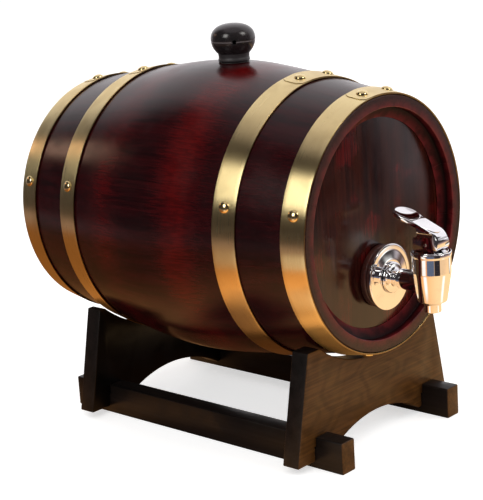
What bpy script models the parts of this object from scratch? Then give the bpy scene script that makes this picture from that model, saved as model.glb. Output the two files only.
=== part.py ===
"""Table-top oak wine barrel: staves, heads, brass hoops and nails, a bung, a chrome tap
with a flip lever, and a stand of two cradle boards cross-lapped with two rails.

Metres, +Z up.  The barrel lies along Y with its tap end at -Y.  The origin is on the
floor, below the middle of the whole object.
"""
import math

import bmesh
import bpy
from mathutils import Matrix, Vector

# ---- driving dimensions ------------------------------------------------------------
GAP = 0.0003                 # clearance kept between neighbouring solids

# barrel body
BARREL_LENGTH = 0.2160
BELLY_RADIUS = 0.0844        # outside of the staves at mid length
STAVE_SLOPE = 0.178          # how steeply the staves close in towards the ends
STAVE_BEND = 0.0050          # softness of the bend at the belly
STAVE_THICKNESS = 0.0130
STAVE_COUNT = 13
STEPS_PER_STAVE = 4
CHIME_INNER_RADIUS = 0.0629
CHIME_WALL = 0.0045          # depth of the straight wall inside the chime
HEAD_SIGHT_RADIUS = 0.0570   # radius of head seen inside the sloping howel
HEAD_DEPTH = 0.0072          # from the barrel's end to the head
HEAD_THICKNESS = 0.0080
HEAD_RADIUS = 0.0603         # edge of the head, held in the croze

# hoops and nails
HOOP_WIDTH = 0.0140
HOOP_THICKNESS = 0.0008
QUARTER_HOOP_START = 0.0408  # from the barrel's end
NAIL_HEAD_RADIUS = 0.0032
NAIL_HEAD_HEIGHT = 0.0015
NAIL_SHANK_RADIUS = 0.0009
NAIL_LENGTH = 0.0060
NAIL_ANGLES = (-170.0, -75.0, -6.5, 11.0, 75.0)   # degrees from the top, towards +X
CRADLED_NAIL_ANGLES = (-75.0, -6.5, 11.0, 75.0)   # the hoop that lies in the rear cradle

# bung
BUNG_Y = -0.0050             # along the barrel, from its middle
BUNG_HOLE_RADIUS = 0.0088
BUNG_KNOB_RADIUS = 0.01265
BUNG_KNOB_MIDDLE = 0.01265   # heights above the top of the belly
BUNG_KNOB_TOP = 0.0213
BUNG_KNOB_DEPTH = 0.0116     # of the ellipse below the middle, which the neck cuts off
BUNG_NECK_RADIUS = 0.0090
BUNG_SHANK_RADIUS = 0.0064
BUNG_SHANK_LENGTH = 0.0160
VENT_RADIUS = 0.0011
VENT_HEIGHT = 0.0115
VENT_AZIMUTH = math.radians(225.0)

# tap
TAP_DROP = 0.0290            # tap centre below the barrel's axis
TAP_STANDOFF = 0.0278        # tap body's axis in front of the barrel's end
TAP_BODY_RADIUS = 0.0108
TAP_BODY_TOP = 0.0180        # heights from the tap centre
TAP_BAND_BOTTOM = 0.0065
TAP_TAPER_BOTTOM = -0.0090
TAP_TAPER_RADIUS = 0.0078
TAP_NOZZLE_RADIUS = 0.0046
TAP_NOZZLE_TOP = -0.0108
TAP_NOZZLE_BOTTOM = -0.0153
TAP_NOZZLE_BORE = 0.0027
TAP_SEAT_HEIGHT = -0.0055
TAP_CHAMBER_RADIUS = 0.0056
TAP_NECK_RADIUS = 0.0056
TAP_THROAT_RADIUS = 0.0046
TAP_SHANK_RADIUS = 0.0069
TAP_SHANK_BORE = 0.0030
TAP_FLANGE_RADIUS = 0.0184
TAP_PAD_RADIUS = 0.0172
TAP_PAD_THICKNESS = 0.0036
TAP_FLANGE_THICKNESS = 0.0044
LOCK_NUT_ACROSS_FLATS = 0.0190
LOCK_NUT_THICKNESS = 0.0055
WASHER_RADIUS = 0.0120
WASHER_THICKNESS = 0.0020

# lever, stem and spring of the tap
BONNET_FLANGE_RADIUS = 0.0092
BONNET_FLANGE_THICKNESS = 0.0016
BONNET_PLUG_DEPTH = 0.0050
STEM_RADIUS = 0.0017
TONGUE_WIDTH = 0.0026
TONGUE_RADIUS = 0.0024
VALVE_DISC_RADIUS = 0.0042
VALVE_DISC_THICKNESS = 0.0015
VALVE_SEAL_THICKNESS = 0.0018
PIN_RADIUS = 0.0009
PIN_PLAY = 0.0001
PIN_HEIGHT = 0.0034          # pin above the underside of the lever's hub
LEVER_HALF_WIDTH = 0.0055
LEVER_TRAVEL = math.radians(60.0)
LEVER_NOSE_CENTRE = -0.0024  # along the lever from its pin
PADDLE_RADIUS = 0.0074
PADDLE_CENTRE = 0.0147
PADDLE_TOP = 0.0147          # above the pin
PADDLE_TILT = math.radians(21.0)   # level with the slope of the arm
SPOON_LENGTH = 0.0175        # the arm narrows from the paddle to a round end this far forward
SPOON_END_RADIUS = 0.0042
SPOON_THICKNESS = 0.0022
SPRING_WIRE = 0.0006
SPRING_RADIUS = 0.0036
SPRING_TURNS = 5

# stand
RAIL_HEIGHT = 0.0178
RAIL_THICKNESS = 0.0109
RAIL_OUTER_X = 0.0549
RAIL_FRONT = -0.1137         # y of the rails' ends and boards, from the barrel's middle
RAIL_REAR = 0.0914
RAIL_NOTCH = 0.0060
BOARD_THICKNESS = 0.0109
BOARD_LIFT = 0.0042          # underside of the boards above the floor
BOARD_HEIGHT = 0.0607
BOARD_HALF_BOTTOM = 0.0698
BOARD_HALF_TOP = 0.0570
FRONT_BOARD_Y = -0.0956      # front faces of the two boards
REAR_BOARD_Y = 0.0630
ARCH_HALF_SPAN = 0.0410
ARCH_RISE = 0.0119
AXIS_ABOVE_BOARDS = 0.1196   # barrel axis above the underside of the boards
CRADLE_SLACK = 0.0018        # how much wider than the barrel the cradle arcs are
STAND_EDGE = 0.0006

# ---- places worked out from the dimensions above -------------------------------------
HALF_LENGTH = BARREL_LENGTH / 2
TAP_REACH = HALF_LENGTH + TAP_STANDOFF + TAP_BODY_RADIUS
BARREL_Y = (TAP_REACH - HALF_LENGTH) / 2
AXIS_Z = BOARD_LIFT + AXIS_ABOVE_BOARDS
STAVE_ANGLE = 2 * math.pi / STAVE_COUNT
ROUND_STEPS = STAVE_COUNT * STEPS_PER_STAVE
STEP_ANGLE = 2 * math.pi / ROUND_STEPS
# turns a lathe form, which starts at +X, so that its corners fall on the stave joints
ROUND_TURN = (STAVE_ANGLE / 2 - math.pi / 2) % STEP_ANGLE
AXIS_POINT = Vector((0, BARREL_Y, AXIS_Z))
BARREL_TOP = Vector((0, BARREL_Y + BUNG_Y, AXIS_Z + BELLY_RADIUS))
TAP_POINT = Vector((0, BARREL_Y - HALF_LENGTH - TAP_STANDOFF, AXIS_Z - TAP_DROP))
HEAD_FACE_Y = BARREL_Y - HALF_LENGTH + HEAD_DEPTH
BONNET_TOP = TAP_BODY_TOP + GAP
PIN_POINT = TAP_POINT + Vector((0, 0, BONNET_TOP + GAP + PIN_HEIGHT))


# ---- helpers -------------------------------------------------------------------------
def clear_scene():
    for item in list(bpy.data.objects):
        bpy.data.objects.remove(item, do_unlink=True)


def make_collection(name):
    group = bpy.data.collections.new(name)
    bpy.context.scene.collection.children.link(group)
    return group


def make_material(name, colour, roughness, metallic=0.0):
    material = bpy.data.materials.new(name)
    material.use_nodes = True
    shader = material.node_tree.nodes["Principled BSDF"]
    shader.inputs["Base Color"].default_value = (*colour, 1.0)
    shader.inputs["Roughness"].default_value = roughness
    shader.inputs["Metallic"].default_value = metallic
    return material


def add_object(name, mesh, group, location=(0, 0, 0), rotation=(0, 0, 0)):
    item = bpy.data.objects.new(name, mesh)
    group.objects.link(item)
    item.location = location
    item.rotation_euler = rotation
    return item


def finish_piece(item, material, parent=None, smooth_angle=40.0):
    """Give a piece its material, shading and parent, keeping it where it stands."""
    item.data.materials.clear()
    item.data.materials.append(material)
    item.data.shade_smooth()
    item.data.set_sharp_from_angle(angle=math.radians(smooth_angle))
    if parent is not None:
        item.parent = parent
        item.matrix_parent_inverse = Matrix.Translation(-Vector(parent.location))
    return item


def make_cutter(item):
    for group in list(item.users_collection):
        group.objects.unlink(item)
    CUTTERS.objects.link(item)
    item.hide_render = True
    item.display_type = "WIRE"
    return item


def boolean(item, other, operation="DIFFERENCE"):
    step = item.modifiers.new(operation.lower(), "BOOLEAN")
    step.operation = operation
    step.object = other
    step.solver = "EXACT"
    return step


def turned(name, profile, steps, group, location=(0, 0, 0), rotation=(0, 0, 0), closed=False):
    """Lathe a profile of (radius, height) points round local Z.

    The points run down the outer side, from top to bottom.
    """
    mesh = bpy.data.meshes.new(name)
    points = [(radius, 0.0, height) for radius, height in profile]
    edges = [(i, i + 1) for i in range(len(points) - 1)]
    if closed:
        edges.append((len(points) - 1, 0))
    mesh.from_pydata(points, edges, [])
    item = add_object(name, mesh, group, location, rotation)
    screw = item.modifiers.new("screw", "SCREW")
    screw.axis = "Z"
    screw.angle = 2 * math.pi
    screw.steps = steps
    screw.render_steps = steps
    screw.use_merge_vertices = True
    screw.merge_threshold = 0.00001
    return bake(item)


def bake(item):
    """Replace an object's mesh by its evaluated mesh and drop the modifiers."""
    bpy.context.view_layer.update()
    evaluated = item.evaluated_get(bpy.context.evaluated_depsgraph_get())
    mesh = bpy.data.meshes.new_from_object(evaluated)
    weld(mesh)
    item.modifiers.clear()
    item.data = mesh
    return item


def weld(mesh):
    work = bmesh.new()
    work.from_mesh(mesh)
    bmesh.ops.remove_doubles(work, verts=work.verts, dist=0.000005)
    bmesh.ops.recalc_face_normals(work, faces=work.faces)
    work.to_mesh(mesh)
    work.free()


def curve_to_mesh(name, curve, group, matrix):
    """Turn a filled or bevelled curve into a welded mesh object."""
    source = bpy.data.objects.new(name + "_curve", curve)
    group.objects.link(source)
    source.matrix_world = matrix
    bpy.context.view_layer.update()
    evaluated = source.evaluated_get(bpy.context.evaluated_depsgraph_get())
    mesh = bpy.data.meshes.new_from_object(evaluated)
    weld(mesh)
    item = bpy.data.objects.new(name, mesh)
    group.objects.link(item)
    item.matrix_world = matrix
    bpy.data.objects.remove(source, do_unlink=True)
    return item


def prism(name, outline, thickness, group, location=(0, 0, 0), rotation=(0, 0, 0)):
    """A flat outline in local XY, made into a plate centred on local Z = 0."""
    curve = bpy.data.curves.new(name, "CURVE")
    curve.dimensions = "2D"
    curve.fill_mode = "BOTH"
    curve.extrude = thickness / 2
    spline = curve.splines.new("POLY")
    spline.points.add(len(outline) - 1)
    for point, (x, y) in zip(spline.points, outline):
        point.co = (x, y, 0, 1)
    spline.use_cyclic_u = True
    turn = Matrix.Rotation(rotation[2], 4, "Z") @ Matrix.Rotation(rotation[1], 4, "Y")
    turn = turn @ Matrix.Rotation(rotation[0], 4, "X")
    return curve_to_mesh(name, curve, group, Matrix.Translation(location) @ turn)


def loft(name, rings, group, location, turn):
    """A solid through (height, outline) rings with equal point counts, turned about Z."""
    points = []
    for height, outline in rings:
        points += [(x, y, height) for x, y in outline]
    count = len(rings[0][1])
    faces = [tuple(reversed(range(count)))]
    faces.append(tuple(range(len(points) - count, len(points))))
    for level in range(len(rings) - 1):
        for i in range(count):
            start = level * count
            following = (i + 1) % count
            faces.append((start + i, start + following, start + count + following,
                          start + count + i))
    mesh = bpy.data.meshes.new(name)
    mesh.from_pydata(points, [], faces)
    weld(mesh)
    return add_object(name, mesh, group, location, (0, 0, turn))


def cylinder(name, radius, start, end, sides, group):
    """A capped cylinder from one point to another."""
    start = Vector(start)
    axis = Vector(end) - start
    work = bmesh.new()
    bmesh.ops.create_cone(work, cap_ends=True, segments=sides, radius1=radius,
                          radius2=radius, depth=axis.length)
    mesh = bpy.data.meshes.new(name)
    work.to_mesh(mesh)
    work.free()
    item = add_object(name, mesh, group, start + axis / 2)
    item.rotation_euler = axis.to_track_quat("Z", "Y").to_euler()
    return item


def box(name, size, centre, group):
    work = bmesh.new()
    bmesh.ops.create_cube(work, size=1.0, matrix=Matrix.Diagonal((*size, 1.0)))
    mesh = bpy.data.meshes.new(name)
    work.to_mesh(mesh)
    work.free()
    return add_object(name, mesh, group, centre)


def bevel(item, width, segments=1, angle=35.0):
    step = item.modifiers.new("edges", "BEVEL")
    step.width = width
    step.segments = segments
    step.limit_method = "ANGLE"
    step.angle_limit = math.radians(angle)
    return step


def arc(centre, radius, start, end, count):
    """Points on a circle, angles in radians, both ends included."""
    points = []
    for i in range(count + 1):
        angle = start + (end - start) * i / count
        points.append((centre[0] + radius * math.cos(angle), centre[1] + radius * math.sin(angle)))
    return points


def empty(name, location):
    item = bpy.data.objects.new(name, None)
    PARTS.objects.link(item)
    item.location = location
    item.empty_display_size = 0.01
    return item


# ---- barrel body ---------------------------------------------------------------------
def stave_radius(distance):
    """Outer radius at a distance along the axis from the belly: a bend easing to a slope."""
    reach = STAVE_SLOPE * distance
    return BELLY_RADIUS - (math.hypot(STAVE_BEND, reach) - STAVE_BEND)


def shell_profile():
    """Closed section of the barrel wall, with the chime, howel and croze at both ends."""
    croze_front = HEAD_DEPTH - GAP
    croze_back = HEAD_DEPTH + HEAD_THICKNESS + GAP
    croze_radius = HEAD_RADIUS + GAP
    outer_count = 10
    inner_count = 6
    outer = []
    for i in range(outer_count + 1):
        height = HALF_LENGTH - BARREL_LENGTH * i / outer_count
        outer.append((stave_radius(height), height))
    inner_reach = HALF_LENGTH - croze_back
    inner = []
    for i in range(inner_count + 1):
        height = -inner_reach + 2 * inner_reach * i / inner_count
        inner.append((stave_radius(height) - STAVE_THICKNESS, height))

    def end_steps(side):
        return [
            (CHIME_INNER_RADIUS, side * HALF_LENGTH),
            (CHIME_INNER_RADIUS, side * (HALF_LENGTH - CHIME_WALL)),
            (HEAD_SIGHT_RADIUS, side * (HALF_LENGTH - croze_front)),
            (croze_radius, side * (HALF_LENGTH - croze_front)),
            (croze_radius, side * inner_reach),
        ]

    return outer + end_steps(-1) + inner + list(reversed(end_steps(1)))


def build_staves(parent, nail_cutters):
    shell = turned("barrel_shell", shell_profile(), ROUND_STEPS, CUTTERS, closed=True)
    shell_mesh = shell.data
    bpy.data.objects.remove(shell, do_unlink=True)
    half = STAVE_ANGLE / 2
    tip = (GAP / 2) / math.sin(half)
    reach = BELLY_RADIUS * 1.4
    side = (reach - tip) * math.tan(half)
    outline = [(0, tip), (side, reach), (-side, reach)]
    hole = make_cutter(cylinder("bung_hole_cut", BUNG_HOLE_RADIUS,
                                BARREL_TOP + Vector((0, 0, -0.03)),
                                BARREL_TOP + Vector((0, 0, 0.01)), 24, CUTTERS))
    for index in range(STAVE_COUNT):
        angle = index * STAVE_ANGLE
        name = f"stave_{index + 1:02d}"
        stave = add_object(name, shell_mesh.copy(), PARTS, AXIS_POINT,
                           (-math.pi / 2, ROUND_TURN, 0))
        wedge = prism(f"{name}_wedge", outline, BARREL_LENGTH * 1.2, CUTTERS)
        stand_up = Matrix.Rotation(math.pi / 2, 4, "X")
        wedge.matrix_world = (Matrix.Translation(AXIS_POINT)
                              @ Matrix.Rotation(angle, 4, "Y") @ stand_up)
        boolean(stave, make_cutter(wedge), "INTERSECT")
        if index == 0:
            boolean(stave, hole)
        for cutter, nail_angle in nail_cutters:
            offset = (nail_angle - angle + math.pi) % (2 * math.pi) - math.pi
            if abs(offset) < half:
                boolean(stave, cutter)
        finish_piece(stave, OAK, parent)


def build_heads(parent, tap_cutter):
    for name, side in (("front_head", -1), ("rear_head", 1)):
        middle = side * (HALF_LENGTH - HEAD_DEPTH - HEAD_THICKNESS / 2)
        half = HEAD_THICKNESS / 2
        profile = [(0, half), (HEAD_RADIUS, half), (HEAD_RADIUS, -half), (0, -half)]
        head = turned(name, profile, ROUND_STEPS, PARTS, AXIS_POINT + Vector((0, middle, 0)),
                      (-math.pi / 2, ROUND_TURN, 0))
        if side < 0:
            boolean(head, tap_cutter)
        finish_piece(head, OAK, parent)


# ---- hoops and nails -----------------------------------------------------------------
def hoop_specs():
    quarter = HALF_LENGTH - QUARTER_HOOP_START - HOOP_WIDTH / 2
    end = HALF_LENGTH - HOOP_WIDTH / 2
    return (
        ("front_head_hoop", -end, NAIL_ANGLES),
        ("front_quarter_hoop", -quarter, NAIL_ANGLES),
        ("rear_quarter_hoop", quarter, CRADLED_NAIL_ANGLES),
        ("rear_head_hoop", end, NAIL_ANGLES),
    )


def nail_matrix(distance, degrees):
    """Place and turn a nail square to the hoop, at a distance along the barrel."""
    lift = stave_radius(distance) + GAP + HOOP_THICKNESS + GAP
    slope = (stave_radius(distance + 0.001) - stave_radius(distance - 0.001)) / 0.002
    round_axis = Matrix.Rotation(math.radians(degrees), 4, "Y")
    lean = Matrix.Rotation(math.atan(slope), 4, "X")
    place = Matrix.Translation(AXIS_POINT + Vector((0, distance, 0)))
    return place @ round_axis @ Matrix.Translation((0, 0, lift)) @ lean


def build_hoops_and_nails(parent):
    """Build each hoop with its nails, and return the cutters of the nail holes."""
    cap_steps = 3
    nail_profile = []
    for i in range(cap_steps + 1):
        turn = math.pi / 2 * i / cap_steps
        nail_profile.append((NAIL_HEAD_RADIUS * math.sin(turn), NAIL_HEAD_HEIGHT * math.cos(turn)))
    nail_profile += [(NAIL_SHANK_RADIUS, 0), (NAIL_SHANK_RADIUS, -NAIL_LENGTH), (0, -NAIL_LENGTH)]
    cutters = []
    for hoop_name, middle, angles in hoop_specs():
        inner = []
        for i in (-1, 0, 1):
            height = middle + i * HOOP_WIDTH / 2
            inner.append((stave_radius(height) + GAP, height))
        outer = [(radius + HOOP_THICKNESS, height) for radius, height in reversed(inner)]
        hoop = turned(hoop_name, outer + inner, ROUND_STEPS, PARTS, AXIS_POINT,
                      (-math.pi / 2, ROUND_TURN, 0), closed=True)
        for number, degrees in enumerate(angles, start=1):
            name = hoop_name.replace("_hoop", f"_nail_{number}")
            matrix = nail_matrix(middle, degrees)
            nail = turned(name, nail_profile, 8, PARTS)
            nail.matrix_world = matrix
            finish_piece(nail, BRASS, parent)
            cutter = cylinder(name + "_cut", NAIL_SHANK_RADIUS + GAP, (0, 0, -NAIL_LENGTH - GAP),
                              (0, 0, 0.003), 6, CUTTERS)
            cutter.matrix_world = matrix @ cutter.matrix_basis
            make_cutter(cutter)
            boolean(hoop, cutter)
            cutters.append((cutter, math.radians(degrees)))
        finish_piece(hoop, BRASS, parent)
    return cutters


# ---- bung ----------------------------------------------------------------------------
def build_bung(parent):
    rise = BUNG_KNOB_TOP - BUNG_KNOB_MIDDLE
    squareness = 0.86         # under 1, the top is a little fuller than an ellipse
    profile = []
    for i in range(8):
        turn = math.pi / 2 * i / 8
        profile.append((BUNG_KNOB_RADIUS * math.sin(turn) ** squareness,
                        BUNG_KNOB_MIDDLE + rise * math.cos(turn) ** squareness))
    last = math.acos(BUNG_NECK_RADIUS / BUNG_KNOB_RADIUS)
    for i in range(6):
        turn = last * i / 5
        profile.append((BUNG_KNOB_RADIUS * math.cos(turn),
                        BUNG_KNOB_MIDDLE - BUNG_KNOB_DEPTH * math.sin(turn)))
    profile += [
        (BUNG_NECK_RADIUS, GAP),
        (BUNG_SHANK_RADIUS, GAP),
        (BUNG_SHANK_RADIUS, -BUNG_SHANK_LENGTH + 0.001),
        (BUNG_SHANK_RADIUS - 0.001, -BUNG_SHANK_LENGTH),
        (0, -BUNG_SHANK_LENGTH),
    ]
    stopper = turned("bung_stopper", profile, 28, PARTS, BARREL_TOP)
    outward = Vector((math.cos(VENT_AZIMUTH), math.sin(VENT_AZIMUTH), 0))
    level = BARREL_TOP + Vector((0, 0, VENT_HEIGHT))
    side_vent = make_cutter(cylinder("vent_side_cut", VENT_RADIUS, level,
                                     level + outward * BUNG_KNOB_RADIUS * 1.2, 8, CUTTERS))
    down_vent = make_cutter(cylinder("vent_down_cut", VENT_RADIUS,
                                     BARREL_TOP - Vector((0, 0, BUNG_SHANK_LENGTH * 1.2)),
                                     level + Vector((0, 0, VENT_RADIUS)), 8, CUTTERS))
    boolean(side_vent, down_vent, "UNION")
    boolean(stopper, side_vent)
    finish_piece(stopper, BLACK_PLASTIC, parent)

    ribs = 3
    seal_length = BUNG_SHANK_LENGTH - 0.003
    outer = []
    for i in range(ribs):
        top = -GAP - seal_length * i / ribs
        outer += [(BUNG_HOLE_RADIUS - 0.0009, top),
                  (BUNG_HOLE_RADIUS - GAP, top - seal_length / ribs * 0.5),
                  (BUNG_HOLE_RADIUS - 0.0009, top - seal_length / ribs * 0.9)]
    bottom = -GAP - seal_length
    outer.append((BUNG_HOLE_RADIUS - 0.0014, bottom))
    bore = BUNG_SHANK_RADIUS + GAP
    seal = turned("bung_seal", outer + [(bore, bottom), (bore, -GAP)], 20, PARTS, BARREL_TOP,
                  closed=True)
    finish_piece(seal, BLACK_RUBBER, parent)


# ---- tap -----------------------------------------------------------------------------
def front_distance(distance):
    """A point on the tap's level axis, at a distance in front of the head."""
    return Vector((0, HEAD_FACE_Y - distance, TAP_POINT.z))


def build_tap_body(parent):
    outer = [
        (0, TAP_BODY_TOP), (TAP_BODY_RADIUS - 0.0005, TAP_BODY_TOP),
        (TAP_BODY_RADIUS, TAP_BODY_TOP - 0.0006), (TAP_BODY_RADIUS, TAP_BODY_TOP - 0.0020),
        (TAP_BODY_RADIUS - 0.0004, TAP_BODY_TOP - 0.0026),
        (TAP_BODY_RADIUS - 0.0004, TAP_BAND_BOTTOM),
        (TAP_TAPER_RADIUS, TAP_TAPER_BOTTOM), (TAP_NOZZLE_RADIUS, TAP_NOZZLE_TOP),
        (TAP_NOZZLE_RADIUS, TAP_NOZZLE_BOTTOM), (0, TAP_NOZZLE_BOTTOM),
    ]
    body = turned("tap_body", outer, 28, PARTS, TAP_POINT)
    collar_start = TAP_PAD_THICKNESS + TAP_FLANGE_THICKNESS + 3 * GAP
    axis_distance = HEAD_FACE_Y - TAP_POINT.y
    inner_end = -(HEAD_THICKNESS + WASHER_THICKNESS + LOCK_NUT_THICKNESS + 0.0035)
    # shank through the head, collar against the flange, throat and neck, along -Y
    pipe = [
        (0, axis_distance), (TAP_NECK_RADIUS, axis_distance),
        (TAP_NECK_RADIUS, collar_start + 0.0062), (TAP_THROAT_RADIUS, collar_start + 0.0046),
        (TAP_THROAT_RADIUS, collar_start + 0.0020), (0.0086, collar_start + 0.0016),
        (0.0086, collar_start), (TAP_SHANK_RADIUS, collar_start),
        (TAP_SHANK_RADIUS, inner_end), (0, inner_end),
    ]
    arm = turned("tap_arm", pipe, 20, CUTTERS, front_distance(0), (math.pi / 2, 0, 0))
    boolean(body, make_cutter(arm), "UNION")
    bonnet_seat = TAP_BODY_TOP - BONNET_FLANGE_THICKNESS
    chamber = [
        (0, TAP_BODY_TOP + 0.002), (BONNET_FLANGE_RADIUS + GAP, TAP_BODY_TOP + 0.002),
        (BONNET_FLANGE_RADIUS + GAP, bonnet_seat), (TAP_CHAMBER_RADIUS + 0.0008, bonnet_seat),
        (TAP_CHAMBER_RADIUS + 0.0008, bonnet_seat - BONNET_PLUG_DEPTH - GAP),
        (TAP_CHAMBER_RADIUS, bonnet_seat - BONNET_PLUG_DEPTH - 0.001),
        (TAP_CHAMBER_RADIUS, TAP_SEAT_HEIGHT), (TAP_NOZZLE_BORE, TAP_SEAT_HEIGHT),
        (TAP_NOZZLE_BORE, TAP_NOZZLE_BOTTOM - 0.002), (0, TAP_NOZZLE_BOTTOM - 0.002),
    ]
    boolean(body, make_cutter(turned("tap_chamber_cut", chamber, 20, CUTTERS, TAP_POINT)))
    bore = cylinder("tap_bore_cut", TAP_SHANK_BORE, front_distance(inner_end - 0.002),
                    TAP_POINT, 12, CUTTERS)
    boolean(body, make_cutter(bore))
    finish_piece(body, CHROME, parent)


def build_tap_mount(parent):
    """Pad, flange, washer and lock nut, strung on the shank through the front head."""
    hole = TAP_SHANK_RADIUS + GAP
    pad_front = GAP + TAP_PAD_THICKNESS
    pad = [(hole, pad_front), (TAP_PAD_RADIUS - 0.0008, pad_front),
           (TAP_PAD_RADIUS, pad_front - 0.0008), (TAP_PAD_RADIUS, GAP), (hole, GAP)]
    piece = turned("tap_pad", pad, 32, PARTS, front_distance(0), (math.pi / 2, 0, 0), closed=True)
    finish_piece(piece, OAK, parent)

    back = pad_front + GAP
    front = back + TAP_FLANGE_THICKNESS
    flange = [
        (hole, front), (0.0100, front), (0.0150, front - 0.0007),
        (TAP_FLANGE_RADIUS - 0.0006, front - 0.0006), (TAP_FLANGE_RADIUS, front - 0.0011),
        (TAP_FLANGE_RADIUS - 0.0004, front - 0.0018), (0.0173, front - 0.0028),
        (0.0168, back + 0.0006), (0.0164, back), (hole, back),
    ]
    piece = turned("tap_flange", flange, 36, PARTS, front_distance(0), (math.pi / 2, 0, 0),
                   closed=True)
    finish_piece(piece, CHROME, parent)

    washer_front = -HEAD_THICKNESS - GAP
    washer_back = washer_front - WASHER_THICKNESS
    washer = [(hole, washer_front), (WASHER_RADIUS, washer_front),
              (WASHER_RADIUS, washer_back), (hole, washer_back)]
    piece = turned("tap_washer", washer, 20, PARTS, front_distance(0), (math.pi / 2, 0, 0),
                   closed=True)
    finish_piece(piece, BLACK_RUBBER, parent)

    nut_front = washer_back - GAP
    nut_radius = LOCK_NUT_ACROSS_FLATS / math.sqrt(3)
    nut = cylinder("tap_lock_nut", nut_radius, front_distance(nut_front),
                   front_distance(nut_front - LOCK_NUT_THICKNESS), 6, PARTS)
    bore = cylinder("nut_bore_cut", hole, front_distance(nut_front + 0.002),
                    front_distance(nut_front - LOCK_NUT_THICKNESS - 0.002), 20, CUTTERS)
    boolean(nut, make_cutter(bore))
    finish_piece(nut, CHROME, parent)


def build_bonnet(parent):
    top = BONNET_TOP
    seat = TAP_BODY_TOP - BONNET_FLANGE_THICKNESS + GAP
    hole = STEM_RADIUS + GAP
    plug = TAP_CHAMBER_RADIUS + 0.0008 - GAP
    profile = [
        (hole, top), (BONNET_FLANGE_RADIUS - 0.0004, top), (BONNET_FLANGE_RADIUS, top - 0.0004),
        (BONNET_FLANGE_RADIUS, seat), (plug, seat), (plug, seat - BONNET_PLUG_DEPTH),
        (hole, seat - BONNET_PLUG_DEPTH),
    ]
    bonnet = turned("tap_bonnet", profile, 24, PARTS, TAP_POINT, closed=True)
    finish_piece(bonnet, CHROME, parent)
    return seat - BONNET_PLUG_DEPTH


def build_stem(parent, spring_top):
    """Stem with its tongue, the valve seal under it and the spring round it."""
    seal_bottom = TAP_SEAT_HEIGHT + GAP
    disc_bottom = seal_bottom + VALVE_SEAL_THICKNESS + GAP
    disc_top = disc_bottom + VALVE_DISC_THICKNESS
    pin_height = PIN_POINT.z - TAP_POINT.z
    profile = [
        (0, pin_height), (STEM_RADIUS, pin_height), (STEM_RADIUS, disc_top),
        (VALVE_DISC_RADIUS, disc_top), (VALVE_DISC_RADIUS, disc_bottom), (0, disc_bottom),
    ]
    stem = turned("tap_stem", profile, 16, PARTS, TAP_POINT)
    outline = arc((0, 0), TONGUE_RADIUS, 0, math.pi, 8)
    outline += [(-STEM_RADIUS, -0.0024), (STEM_RADIUS, -0.0024)]
    tongue = prism("tongue_form", outline, TONGUE_WIDTH, CUTTERS, PIN_POINT,
                   (math.pi / 2, 0, math.pi / 2))
    boolean(stem, make_cutter(tongue), "UNION")
    for side in (-1, 1):
        centre = PIN_POINT + Vector((side * (TONGUE_WIDTH / 2 + 0.001), 0, -0.0025))
        boolean(stem, make_cutter(box(f"stem_flat_{side}", (0.002, 0.007, 0.011), centre, CUTTERS)))
    reach = Vector((LEVER_HALF_WIDTH, 0, 0))
    eye = cylinder("tongue_eye_cut", PIN_RADIUS + PIN_PLAY, PIN_POINT - reach,
                   PIN_POINT + reach, 10, CUTTERS)
    boolean(stem, make_cutter(eye))
    finish_piece(stem, CHROME, parent)

    seal = [
        (0, seal_bottom + VALVE_SEAL_THICKNESS),
        (VALVE_DISC_RADIUS, seal_bottom + VALVE_SEAL_THICKNESS),
        (VALVE_DISC_RADIUS, seal_bottom + 0.0004), (VALVE_DISC_RADIUS - 0.0004, seal_bottom),
        (0, seal_bottom),
    ]
    finish_piece(turned("tap_seal", seal, 16, PARTS, TAP_POINT), BLACK_RUBBER, parent)

    curve = bpy.data.curves.new("tap_spring", "CURVE")
    curve.dimensions = "3D"
    curve.bevel_depth = SPRING_WIRE / 2
    curve.bevel_resolution = 0
    curve.use_fill_caps = True
    bottom = disc_top + GAP + SPRING_WIRE / 2
    rise = spring_top - GAP - SPRING_WIRE / 2 - bottom
    per_turn = 10
    count = SPRING_TURNS * per_turn
    spline = curve.splines.new("POLY")
    spline.points.add(count)
    for i in range(count + 1):
        turn = 2 * math.pi * i / per_turn
        spline.points[i].co = (SPRING_RADIUS * math.cos(turn), SPRING_RADIUS * math.sin(turn),
                               bottom + rise * i / count, 1)
    spring = curve_to_mesh("tap_spring", curve, PARTS, Matrix.Translation(TAP_POINT))
    finish_piece(spring, CHROME, parent)


def lever_slot_outline():
    """Slot that clears the stem over the lever's travel: a round top, open below and in front."""
    roof = TONGUE_RADIUS + GAP
    side = STEM_RADIUS + GAP
    swing = -math.pi / 2 - LEVER_TRAVEL
    lean = math.acos(side / roof)
    first = arc((0, 0), roof, -lean, swing + 3 * math.pi / 2 + lean, 9)
    corner = Vector(first[-1])
    forward = Vector((math.cos(swing), math.sin(swing)))
    mouth = corner + forward * 0.012
    return [(side, -0.012)] + first + [tuple(mouth), (mouth.x, -0.012)]


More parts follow.
